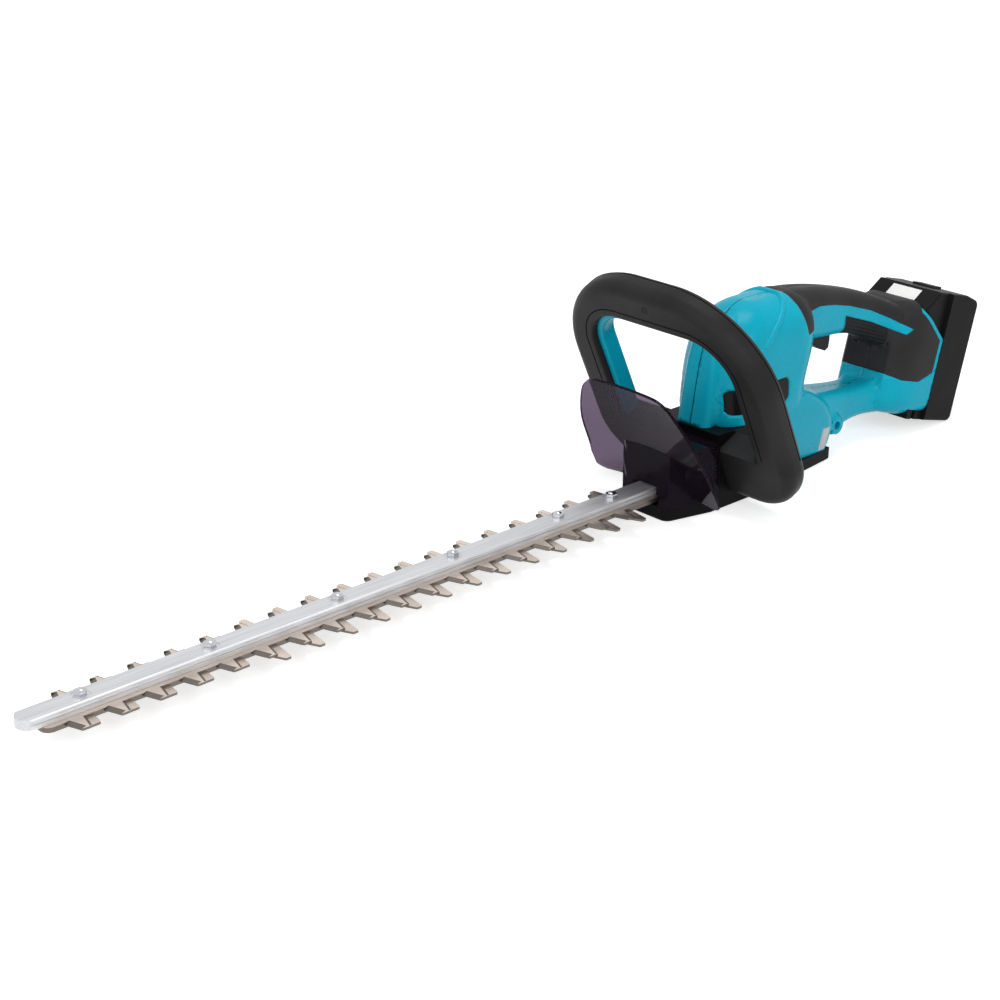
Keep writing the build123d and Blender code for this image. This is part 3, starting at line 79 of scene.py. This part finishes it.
class Shader:
    """A material under construction, with short ways to add and link nodes."""

    def __init__(self, name):
        self.material = bpy.data.materials.new(name)
        self.material.use_nodes = True
        self.tree = self.material.node_tree
        self.principled = self.tree.nodes["Principled BSDF"]

    def set(self, **values):
        """Plain values for inputs of the surface, with _ for the spaces in their names."""
        for name, value in values.items():
            self.principled.inputs[name.replace("_", " ")].default_value = value
        return self

    def add(self, kind, **values):
        node = self.tree.nodes.new(kind)
        for name, value in values.items():
            setattr(node, name, value)
        return node

    def link(self, source, target):
        self.tree.links.new(source, target)

    def position(self, scale):
        """Object coordinates stretched by a scale."""
        coords = self.add("ShaderNodeTexCoord")
        mapping = self.add("ShaderNodeMapping")
        mapping.inputs["Scale"].default_value = scale
        self.link(coords.outputs["Object"], mapping.inputs["Vector"])
        return mapping.outputs["Vector"]

    def noise(self, scale, detail=2.0, stretch=(1, 1, 1)):
        """Noise from 0 to 1, with its scale in waves per metre."""
        texture = self.add("ShaderNodeTexNoise")
        texture.inputs["Scale"].default_value = scale
        texture.inputs["Detail"].default_value = detail
        self.link(self.position(stretch), texture.inputs["Vector"])
        return texture.outputs["Fac"]

    def ramp(self, value, dark, light, margin=0.3):
        """Dark to light over the middle of a 0 to 1 value, plain within a margin of its ends."""
        ramp = self.add("ShaderNodeValToRGB")
        first, last = ramp.color_ramp.elements
        first.position, first.color = margin, (*dark, 1)
        last.position, last.color = 1 - margin, (*light, 1)
        self.link(value, ramp.inputs["Fac"])
        return ramp.outputs["Color"]

    def spread(self, value, low, high):
        """A 0 to 1 value mapped to a range."""
        spread = self.add("ShaderNodeMapRange")
        spread.inputs["To Min"].default_value = low
        spread.inputs["To Max"].default_value = high
        self.link(value, spread.inputs["Value"])
        return spread.outputs["Result"]

    def bump(self, value, strength, distance):
        """Add a bump layer over whatever normal the surface has."""
        bump = self.add("ShaderNodeBump")
        bump.inputs["Strength"].default_value = strength
        bump.inputs["Distance"].default_value = distance
        self.link(value, bump.inputs["Height"])
        slot = self.principled.inputs["Normal"]
        if slot.is_linked:
            self.link(slot.links[0].from_socket, bump.inputs["Normal"])
        self.link(bump.outputs["Normal"], slot)

    def colour(self, socket):
        self.link(socket, self.principled.inputs["Base Color"])

    def roughness(self, socket):
        self.link(socket, self.principled.inputs["Roughness"])


def seen_rays(tree):
    """1 for what is seen straight, mirrored or looked through to, and 0 for what only lights."""
    path = tree.nodes.new("ShaderNodeLightPath")
    seen = path.outputs["Is Camera Ray"]
    for kind in ("Is Glossy Ray", "Is Transmission Ray"):
        either = tree.nodes.new("ShaderNodeMath")
        either.operation = "MAXIMUM"
        tree.links.new(seen, either.inputs[0])
        tree.links.new(path.outputs[kind], either.inputs[1])
        seen = either.outputs["Value"]
    return seen


# Materials

RIB_SLOPE = 0.36  # fall of the pad's ribs along the handle
RIB_WAVES = 2000  # radians per metre across the ribs
TILT_SHADE_FROM, TILT_SHADE_TO = 0.95, 0.985  # upward part of the normal, from full painted shade to none


def moulded_plastic(name, dark, light, rough, grain, shine):
    """Moulded plastic: slight mottling, a fine spark-eroded grain and soft sheen changes."""
    s = Shader(name).set(Specular_IOR_Level=shine)
    s.colour(s.ramp(s.noise(scale=28, detail=3), dark, light, margin=0.35))
    s.roughness(s.spread(s.noise(scale=60, detail=4), rough - 0.05, rough + 0.06))
    s.bump(s.noise(scale=1800), strength=grain, distance=0.1 * MM)
    return s


def teal_plastic():
    return moulded_plastic(
        "teal_plastic", dark=(0.002, 0.375, 0.515), light=(0.003, 0.405, 0.55),
        rough=0.27, grain=0.08, shine=0.11).material


def charcoal_plastic():
    return moulded_plastic(
        "charcoal_plastic", dark=(0.020, 0.020, 0.0205), light=(0.027, 0.027, 0.0275),
        rough=0.42, grain=0.2, shine=0.06).material


# Charcoal plastic made darker as painted shade, for the under cover and gear case, which sit in
# shadow.
def shaded_charcoal():
    return moulded_plastic(
        "shaded_charcoal", dark=(0.0045, 0.0042, 0.005), light=(0.0065, 0.006, 0.007),
        rough=0.42, grain=0.2, shine=0.05).material


def soft_black():
    return moulded_plastic(
        "soft_black", dark=(0.024, 0.0235, 0.025), light=(0.031, 0.0305, 0.032),
        rough=0.48, grain=0.25, shine=0.08).material


def pack_plastic():
    return moulded_plastic(
        "pack_plastic", dark=(0.0075, 0.0075, 0.008), light=(0.0105, 0.0105, 0.011),
        rough=0.42, grain=0.2, shine=0.05).material


def gloss_black():
    return moulded_plastic(
        "gloss_black", dark=(0.0055, 0.0055, 0.006), light=(0.008, 0.008, 0.0085),
        rough=0.22, grain=0.04, shine=0.10).material


def ribbed_soft():
    """The soft pad under the rear handle, with ribs that run along it."""
    s = moulded_plastic(
        "ribbed_soft", dark=(0.014, 0.014, 0.015), light=(0.019, 0.019, 0.020),
        rough=0.50, grain=0.2, shine=0.07)
    coords = s.add("ShaderNodeTexCoord")
    split = s.add("ShaderNodeSeparateXYZ")
    s.link(coords.outputs["Object"], split.inputs["Vector"])
    slope = s.add("ShaderNodeMath", operation="MULTIPLY_ADD")
    slope.inputs[1].default_value = RIB_SLOPE
    s.link(split.outputs["X"], slope.inputs[0])
    s.link(split.outputs["Z"], slope.inputs[2])
    wave = s.add("ShaderNodeMath", operation="MULTIPLY")
    wave.inputs[1].default_value = RIB_WAVES
    s.link(slope.outputs["Value"], wave.inputs[0])
    ridge = s.add("ShaderNodeMath", operation="SINE")
    s.link(wave.outputs["Value"], ridge.inputs[0])
    s.bump(ridge.outputs["Value"], strength=0.8, distance=0.6 * MM)
    return s.material


def tinted_guard():
    """Smoke-tinted clear plastic, a little uneven in its tint."""
    s = Shader("tinted_guard").set(
        Transmission_Weight=0.95, IOR=1.14, Roughness=0.02, Specular_Tint=(0.75, 0.68, 1.0, 1))
    s.colour(s.ramp(
        s.noise(scale=9, detail=1),
        dark=(0.105, 0.074, 0.118), light=(0.128, 0.090, 0.140), margin=0.35))
    return s.material


def bar_aluminium():
    """Drawn aluminium with fine lines along its length."""
    s = Shader("bar_aluminium").set(Metallic=1.0)
    lines = s.noise(scale=900, detail=3, stretch=(0.02, 1, 1))
    s.colour(s.ramp(lines, dark=(0.50, 0.505, 0.52), light=(0.62, 0.625, 0.64)))
    s.roughness(s.spread(lines, 0.46, 0.58))
    s.bump(lines, strength=0.08, distance=0.2 * MM)
    return s.material


def blade_steel():
    """Nickel-plated steel: warm on the flats, with painted shade on faces that turn from the
    top, ground edges and tooth sides alike.
    """
    s = Shader("blade_steel").set(Metallic=1.0)
    flats = s.ramp(
        s.noise(scale=45, detail=4), dark=(0.57, 0.485, 0.42), light=(0.73, 0.635, 0.565))
    geometry = s.add("ShaderNodeNewGeometry")
    split = s.add("ShaderNodeSeparateXYZ")
    s.link(geometry.outputs["True Normal"], split.inputs["Vector"])
    flatness = s.add("ShaderNodeMapRange")
    flatness.inputs["From Min"].default_value = TILT_SHADE_FROM
    flatness.inputs["From Max"].default_value = TILT_SHADE_TO
    s.link(split.outputs["Z"], flatness.inputs["Value"])
    mix = s.add("ShaderNodeMix", data_type="RGBA")
    # Painted shade: dark brown in place of the flats' colour where a face turns from upward.
    mix.inputs[MIX_FROM].default_value = (0.16, 0.14, 0.125, 1)
    s.link(flatness.outputs["Result"], mix.inputs[MIX_FACTOR])
    s.link(flats, mix.inputs[MIX_TO])
    s.colour(mix.outputs[MIX_RESULT])
    grain = s.noise(scale=1500, detail=3, stretch=(1, 0.06, 1))
    s.roughness(s.spread(grain, 0.26, 0.40))
    s.bump(grain, strength=0.10, distance=0.2 * MM)
    return s.material


def plain_metal(name, tone, rough):
    """Metal in one tone, a little darker in places."""
    s = Shader(name).set(Metallic=1.0)
    shade = tuple(0.86 * part for part in tone)
    s.colour(s.ramp(s.noise(scale=120, detail=3), shade, tone))
    s.roughness(s.spread(s.noise(scale=300, detail=3), rough - 0.05, rough + 0.07))
    s.bump(s.noise(scale=900), strength=0.05, distance=0.2 * MM)
    return s.material


def plain_film(name, dark, light, rough, shine=0.5):
    """Paint, film or lacquer, close to even."""
    s = Shader(name).set(Specular_IOR_Level=shine)
    s.colour(s.ramp(s.noise(scale=80), dark, light))
    s.roughness(s.spread(s.noise(scale=200), rough - 0.04, rough + 0.05))
    s.bump(s.noise(scale=700), strength=0.05, distance=0.1 * MM)
    return s.material


MATERIALS = {
    "teal_plastic": teal_plastic(),
    "charcoal_plastic": charcoal_plastic(),
    "soft_black": soft_black(),
    "gloss_black": gloss_black(),
    "tinted_guard": tinted_guard(),
    "bar_aluminium": bar_aluminium(),
    "blade_steel": blade_steel(),
    "zinc_steel": plain_metal("zinc_steel", (0.56, 0.57, 0.60), rough=0.16),
    "machined_steel": plain_metal("machined_steel", (0.55, 0.55, 0.57), rough=0.32),
    "screw_steel": plain_metal("screw_steel", (0.05, 0.05, 0.055), rough=0.35),
    "seam_shadow": plain_film(
        "seam_shadow", (0.002, 0.002, 0.002), (0.004, 0.004, 0.004), rough=0.8, shine=0.0),
    "magnet_iron": plain_metal("magnet_iron", (0.12, 0.12, 0.13), rough=0.5),
    "sintered_bronze": plain_metal("sintered_bronze", (0.55, 0.38, 0.17), rough=0.45),
    "silver_label": plain_film(
        "silver_label", (0.44, 0.45, 0.47), (0.52, 0.53, 0.55), rough=0.35),
    "white_label": plain_film(
        "white_label", (0.82, 0.82, 0.81), (0.88, 0.88, 0.87), rough=0.35, shine=0.25),
    "board_green": plain_film(
        "board_green", (0.012, 0.12, 0.05), (0.02, 0.17, 0.07), rough=0.35),
    "copper_alloy": plain_metal("copper_alloy", (0.72, 0.45, 0.2), rough=0.3),
    "cell_steel": plain_film("cell_steel", (0.05, 0.2, 0.12), (0.06, 0.24, 0.14), rough=0.4),
}
RIBBED = ribbed_soft()
SHADED_CHARCOAL = shaded_charcoal()
PACK = pack_plastic()
OWN_MATERIALS = {
    "grip_insert": RIBBED,
    # Painted shade: the under cover and gear case take the darker charcoal.
    "under_cover": SHADED_CHARCOAL,
    "gear_case": SHADED_CHARCOAL,
    "battery_case": PACK,
    "battery_lid": PACK,
}

for part in frame["record"]["subparts"]:
    node_materials = nodes[part["node"]].data.materials
    node_materials.clear()
    node_materials.append(OWN_MATERIALS.get(part["node"], MATERIALS[part["material_slot"]]))


# Shells of the housing, with the inner corners between its forms filled to soft fillets

SHELLS = ("housing_left", "housing_right", "grip_left", "grip_right")
INLAYS = ("badge_left", "badge_right", "rating_plate", "grip_insert")
BLEND_VOXEL = 1.6 * MM
BLEND_FACTOR = 0.5
BLEND_ROUNDS = 26
FACE_EDGE = 4.5 * MM
CUT_ROUNDS = 7
FILL_STEP = 0.35 * MM
FILL_MOST = 7.0 * MM
FILL_LEAST = 0.2 * MM
FACING = 0.5  # least cosine between a face and the eased surface that it lies on
COVER_GAP = 0.5 * MM
ON_SEAM = 0.01 * MM
SCREW_HOLES = ((295.3, 28), (210.3, 26), (234.3, 140), (344.3, 108), (228.3, 66))  # x, z in mm
DRAIN_X = 334.3 * MM
HOLE_CLEAR = 7.5 * MM


def joined_mesh(names):
    """One bmesh with the meshes of several nodes."""
    bm = bmesh.new()
    for name in names:
        bm.from_mesh(nodes[name].data)
    bmesh.ops.remove_doubles(bm, verts=bm.verts, dist=WELD)
    return bm


def eased_surface():
    """The joined shells remeshed and smoothed, as a search tree."""
    mesh = mesh_from(joined_mesh(SHELLS + INLAYS), "eased")
    holder = linked("eased", mesh)
    remesh = holder.modifiers.new("remesh", "REMESH")
    remesh.mode = "VOXEL"
    remesh.voxel_size = BLEND_VOXEL
    smooth = holder.modifiers.new("smooth", "SMOOTH")
    smooth.factor = BLEND_FACTOR
    smooth.iterations = BLEND_ROUNDS
    tree = BVHTree.FromObject(holder, bpy.context.evaluated_depsgraph_get())
    bpy.data.objects.remove(holder)
    bpy.data.meshes.remove(mesh)
    return tree


def inside_by(tree, point):
    """How far a point lies inside the eased surface; negative outside it."""
    place, normal, _, distance = tree.find_nearest(point)
    return -distance if (point - place).dot(normal) > 0 else distance


def finely_cut(bm):
    """Split long edges until every face is small."""
    for _ in range(CUT_ROUNDS):
        long_edges = [edge for edge in bm.edges if edge.calc_length() > FACE_EDGE]
        if not long_edges:
            break
        bmesh.ops.subdivide_edges(bm, edges=long_edges, cuts=1, use_single_edge=True)
        bmesh.ops.triangulate(bm, faces=[face for face in bm.faces if len(face.verts) > 3])


def surface_normals(bm, tree, others):
    """For each vertex, the summed normal of its faces that lie open on the eased surface."""
    normals = {}
    bm.normal_update()
    for face in bm.faces:
        centre = face.calc_center_median()
        if others.ray_cast(centre - face.normal * COVER_GAP, face.normal, 2 * COVER_GAP)[0]:
            continue
        _, normal, _, distance = tree.find_nearest(centre)
        if distance < FILL_MOST and normal.dot(face.normal) > FACING:
            for vert in face.verts:
                normals[vert] = normals.get(vert, Vector()) + face.normal * face.calc_area()
    return normals


def filled(tree, point, normal):
    """The point moved out along a normal until it reaches the eased surface."""
    if inside_by(tree, point) < FILL_LEAST:
        return point
    reach = 0.0
    while reach < FILL_MOST and inside_by(tree, point + normal * reach) > 0:
        reach += FILL_STEP
    return point + normal * reach if reach < FILL_MOST else point


def near_hole(point):
    """Whether a point lies at a screw hole or at the drain hole, which keep their edges."""
    by_screw = any(
        Vector((point.x - x * MM, point.z - z * MM)).length < HOLE_CLEAR for x, z in SCREW_HOLES)
    return by_screw or Vector((point.x - DRAIN_X, point.y)).length < HOLE_CLEAR


def softened(name, tree):
    """One shell's mesh, finely cut and filled out to the eased surface."""
    bm = joined_mesh([name])
    bmesh.ops.triangulate(bm, faces=bm.faces)
    finely_cut(bm)
    neighbours = joined_mesh([other for other in SHELLS + INLAYS if other != name])
    others = BVHTree.FromBMesh(neighbours)
    neighbours.free()
    moves = {}
    for vert, normal in surface_normals(bm, tree, others).items():
        if abs(vert.co.y) < ON_SEAM:
            normal.y = 0
        if normal.length > 0 and not near_hole(vert.co):
            moves[vert] = filled(tree, vert.co, normal.normalized())
    for vert, place in moves.items():
        vert.co = place
    mesh = mesh_from(bm, f"{name}_shell", smooth=True)
    mesh.set_sharp_from_angle(angle=SHARP_ANGLE)
    return mesh


def soft_shells():
    """The shells with soft inner corners, in place of the plain ones."""
    tree = eased_surface()
    made = []
    for name in SHELLS:
        shell = linked(f"{name}_shell", softened(name, tree))
        shell.data.materials.append(nodes[name].data.materials[0])
        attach(shell, "frame")
        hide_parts(name)
        made.append(shell)
    return made


shells = soft_shells()


# Guide bar with the same groove along both sides

FLAT_FACE = 0.999  # least part of a flat face's normal that lies along Y or Z


def all_of(bm):
    """Every vertex, edge and face of a bmesh."""
    return bm.verts[:] + bm.edges[:] + bm.faces[:]


def grooved_bar():
    """The guide bar with its right half, groove included, mirrored to the left."""
    bm = joined_mesh(["guide_bar"])
    bmesh.ops.bisect_plane(
        bm, geom=all_of(bm), plane_co=(0, 0, 0), plane_no=ACROSS, clear_inner=True)
    bmesh.ops.mirror(bm, geom=all_of(bm), axis="Y", merge_dist=WELD)
    bmesh.ops.recalc_face_normals(bm, faces=bm.faces)
    bm.verts.index_update()
    places = [vert.co for vert in bm.verts]
    outlines = [[vert.index for vert in face.verts] for face in bm.faces]
    # A fresh mesh, because the corner normals kept with the node's faces no longer fit
    mesh = bpy.data.meshes.new("guide_bar_grooved")
    mesh.from_pydata(places, [], outlines)
    bm.free()
    for face in mesh.polygons:
        face.use_smooth = max(abs(face.normal.y), abs(face.normal.z)) < FLAT_FACE
    mesh.set_sharp_from_angle(angle=SHARP_ANGLE)
    mesh.materials.append(MATERIALS["bar_aluminium"])
    bar = linked("guide_bar_grooved", mesh)
    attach(bar, "frame")
    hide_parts("guide_bar")


grooved_bar()


# Fine lines and raised trim laid on the surfaces

RAY_START = 250 * MM
COLLAR_CENTRE = Vector((200, 0, 136)) * MM
COLLAR_UP = Vector((0.798, 0, 0.603))
COLLAR_SPAN = 128  # degrees to each side of its top
COLLAR_STEPS = 96
COLLAR_RADIUS = 2.7 * MM
COLLAR_SINK = 1.2 * MM
COLLAR_END_SINKS = (3.0, 1.9, 1.0)  # mm more at its last points, from the end inwards
RIDGE_CENTRE = Vector((205, 0.15, 95)) * MM
RIDGE_FROM, RIDGE_TO = -24, 78  # degrees up from straight ahead
RIDGE_STEPS = 80
RIDGE_LINE_RADIUS = 0.22 * MM
HANDLE_LEAN = radians(24.5)
HANDLE_FOOT = Vector((155.6, 0, 0)) * MM
HANDLE_UP = Vector((-sin(HANDLE_LEAN), 0, cos(HANDLE_LEAN)))
HANDLE_BACK = Vector((cos(HANDLE_LEAN), 0, sin(HANDLE_LEAN)))
HANDLE_LINE_RADIUS = 0.4 * MM
LEG_STEPS = 8
CORNER_STEPS = 24
DIMPLE_UP = 185.6
DIMPLE_SIDES = 24
DIMPLE_RINGS = (  # radius and depth in mm, from the lip to the bottom
    (3.2, 0.0), (2.9, -0.35), (2.4, -0.45), (2.0, -0.1), (1.8, 0.9), (0.0, 1.0))


def surface_of(objects):
    """Search tree over some objects' meshes."""
    bm = bmesh.new()
    for item in objects:
        bm.from_mesh(item.data)
    tree = BVHTree.FromBMesh(bm)
    bm.free()
    return tree


def bead(name, points, radius, material, body="frame"):
    """A round bead along an open run of points."""
    curve = bpy.data.curves.new(name, "CURVE")
    curve.dimensions = "3D"
    curve.bevel_depth = radius
    curve.bevel_resolution = 3
    spline = curve.splines.new("POLY")
    spline.points.add(len(points) - 1)
    for target, place in zip(spline.points, points):
        target.co = (*place, 1)
    curve.materials.append(material)
    piece = linked(name, curve)
    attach(piece, body)


def ring_of_hits(tree, centre, first, second, low, high, count, sink):
    """Surface points met by rays that turn about a centre, from low to high degrees."""
    points = []
    for k in range(count + 1):
        angle = radians(low + (high - low) * k / count)
        out = first * cos(angle) + second * sin(angle)
        hit = tree.ray_cast(centre + out * RAY_START, -out)[0]
        if hit:
            points.append(hit - out * sink)
    return points


def tower_collar(surface):
    """The raised trim over the tower, with its ends sunk into the housing."""
    points = ring_of_hits(
        surface, COLLAR_CENTRE, COLLAR_UP, ACROSS,
        low=-COLLAR_SPAN, high=COLLAR_SPAN, count=COLLAR_STEPS, sink=COLLAR_SINK)
    for k, depth in enumerate(COLLAR_END_SINKS):
        for end in (k, -1 - k):
            inward = (COLLAR_CENTRE - points[end]).normalized()
            points[end] = points[end] + inward * depth * MM
    bead("tower_collar", points, COLLAR_RADIUS, MATERIALS["teal_plastic"])


def housing_seam(surface):
    """The dark joint of the housing's halves, over the front and top of the tower."""
    points = ring_of_hits(
        surface, RIDGE_CENTRE, FORWARD, UP,
        low=RIDGE_FROM, high=RIDGE_TO, count=RIDGE_STEPS, sink=0)
    bead(
        "housing_seam_line", points, RIDGE_LINE_RADIUS,
        MATERIALS["seam_shadow"])


def on_handle(across, up, back):
    """A place in the leaning plane of the loop handle, from millimetres."""
    return HANDLE_FOOT + (Vector((0, across, 0)) + HANDLE_UP * up + HANDLE_BACK * back) * MM


def handle_arch(half_width, top, corner, foot, back):
    """An arch of the loop handle, from one foot to the other, from millimetres."""
    rise = top - corner - foot
    right = [(half_width, foot + rise * k / LEG_STEPS) for k in range(LEG_STEPS)]
    for k in range(CORNER_STEPS + 1):
        turn = radians(90 * k / CORNER_STEPS)
        right.append(
            (half_width - corner + corner * cos(turn), top - corner + corner * sin(turn)))
    both = right + [(-across, up) for across, up in reversed(right)]
    return [on_handle(across, up, back) for across, up in both]


def handle_lines():
    """The dark joint of the loop's two shells, and a painted shadow line along the crease round
    its opening.
    """
    seam = handle_arch(half_width=102.54, top=201.54, corner=83.54, foot=57.5, back=17.0)
    # Painted shadow: a dark line where the front face turns into the opening.
    crease = handle_arch(half_width=79.5, top=175.1, corner=43.5, foot=62, back=0.05)
    for name, points in (("handle_seam_line", seam), ("handle_crease_shadow_line", crease)):
        bead(name, points, HANDLE_LINE_RADIUS, MATERIALS["seam_shadow"])


def dimple_ring(bm, radius, back):
    """Vertices round the dimple at one depth, or the one at its bottom."""
    count = DIMPLE_SIDES if radius else 1
    return [
        bm.verts.new(on_handle(radius * cos(turn), DIMPLE_UP + radius * sin(turn), back))
        for turn in (tau * k / count for k in range(count))]


def handle_dimple():
    """A small blind hole with a rounded lip in the front of the loop."""
    bm = bmesh.new()
    rings = [dimple_ring(bm, radius, back) for radius, back in DIMPLE_RINGS]
    for inner, outer in zip(rings[1:], rings):
        for k in range(DIMPLE_SIDES):
            after = (k + 1) % DIMPLE_SIDES
            if len(inner) == 1:
                bm.faces.new((outer[k], outer[after], inner[0]))
            else:
                bm.faces.new((outer[k], outer[after], inner[after], inner[k]))
    bmesh.ops.recalc_face_normals(bm, faces=bm.faces)
    piece = linked("handle_dimple", mesh_from(bm, "handle_dimple", smooth=True))
    piece.data.materials.append(MATERIALS["charcoal_plastic"])
    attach(piece, "frame")


housing_surface = surface_of(shells)
tower_collar(housing_surface)
housing_seam(housing_surface)
handle_lines()
handle_dimple()


# Camera, as fitted to the photograph

CAMERA_SENSOR = 36.0
CAMERA_LENS = 70.37
CAMERA_NEAR = 10 * MM
CAMERA_PLACE = Vector((-951.02, -965.36, 609.03)) * MM
CAMERA_LOOK = Vector((0.6219, 0.6796, -0.3890))


def turned_to(direction):
    """The rotation that points a camera or a lamp along a direction."""
    return direction.to_track_quat("-Z", "Y").to_euler()


def photo_camera():
    camera = linked("camera", bpy.data.cameras.new("camera"))
    camera.data.sensor_width = CAMERA_SENSOR
    camera.data.lens = CAMERA_LENS
    camera.data.clip_start = CAMERA_NEAR
    camera.location = CAMERA_PLACE
    camera.rotation_euler = turned_to(CAMERA_LOOK)
    bpy.context.scene.camera = camera


# Studio

FLOOR_REACH = 12
FLOOR_TONE = (0.80, 0.80, 0.80, 1)
FLOOR_GLOW = 0.62
WORLD_LIGHT, WORLD_SEEN = 0.42, 1.0


def floor_material():
    """Pale floor that shows white where it is lit and keeps the object's soft shadow."""
    s = Shader("studio_floor").set(
        Base_Color=FLOOR_TONE, Roughness=0.9, Specular_IOR_Level=0.0, Emission_Color=WHITE)
    glow = s.spread(seen_rays(s.tree), 0.0, FLOOR_GLOW)
    s.link(glow, s.principled.inputs["Emission Strength"])
    return s.material


def studio_floor():
    bm = bmesh.new()
    bmesh.ops.create_grid(bm, x_segments=1, y_segments=1, size=FLOOR_REACH)
    floor = linked("studio_floor", mesh_from(bm, "studio_floor"))
    floor.data.materials.append(floor_material())


def studio_world():
    """Even pale light, and plain white where it is seen, mirrored or looked through to."""
    world = bpy.data.worlds.new("studio")
    world.use_nodes = True
    tree = world.node_tree
    level = tree.nodes.new("ShaderNodeMapRange")
    level.inputs["To Min"].default_value = WORLD_LIGHT
    level.inputs["To Max"].default_value = WORLD_SEEN
    tree.links.new(seen_rays(tree), level.inputs["Value"])
    background = tree.nodes["Background"]
    background.inputs["Color"].default_value = WHITE
    tree.links.new(level.outputs["Result"], background.inputs["Strength"])
    bpy.context.scene.world = world


def softbox(name, place, aim, size, power):
    """A rectangular lamp at a place, turned to what it lights."""
    light = linked(name, bpy.data.lights.new(name, "AREA"))
    light.data.shape = "RECTANGLE"
    light.data.size, light.data.size_y = size
    light.data.energy = power
    light.location = place
    light.rotation_euler = turned_to(Vector(aim) - Vector(place))


def studio_lights():
    softbox("overhead", place=(0.2, 0.1, 1.9), aim=(0, 0, 0), size=(1.0, 0.7), power=14)
    softbox("key_left", place=(-0.5, -1.9, 1.3), aim=(0.15, 0, 0.08), size=(1.7, 1.3), power=20)
    softbox("front_fill", place=(-1.9, -0.5, 0.9), aim=(0.1, 0, 0.08), size=(1.2, 1.0), power=11)


photo_camera()
studio_floor()
studio_world()
studio_lights()
bpy.context.scene.view_settings.view_transform = "Standard"
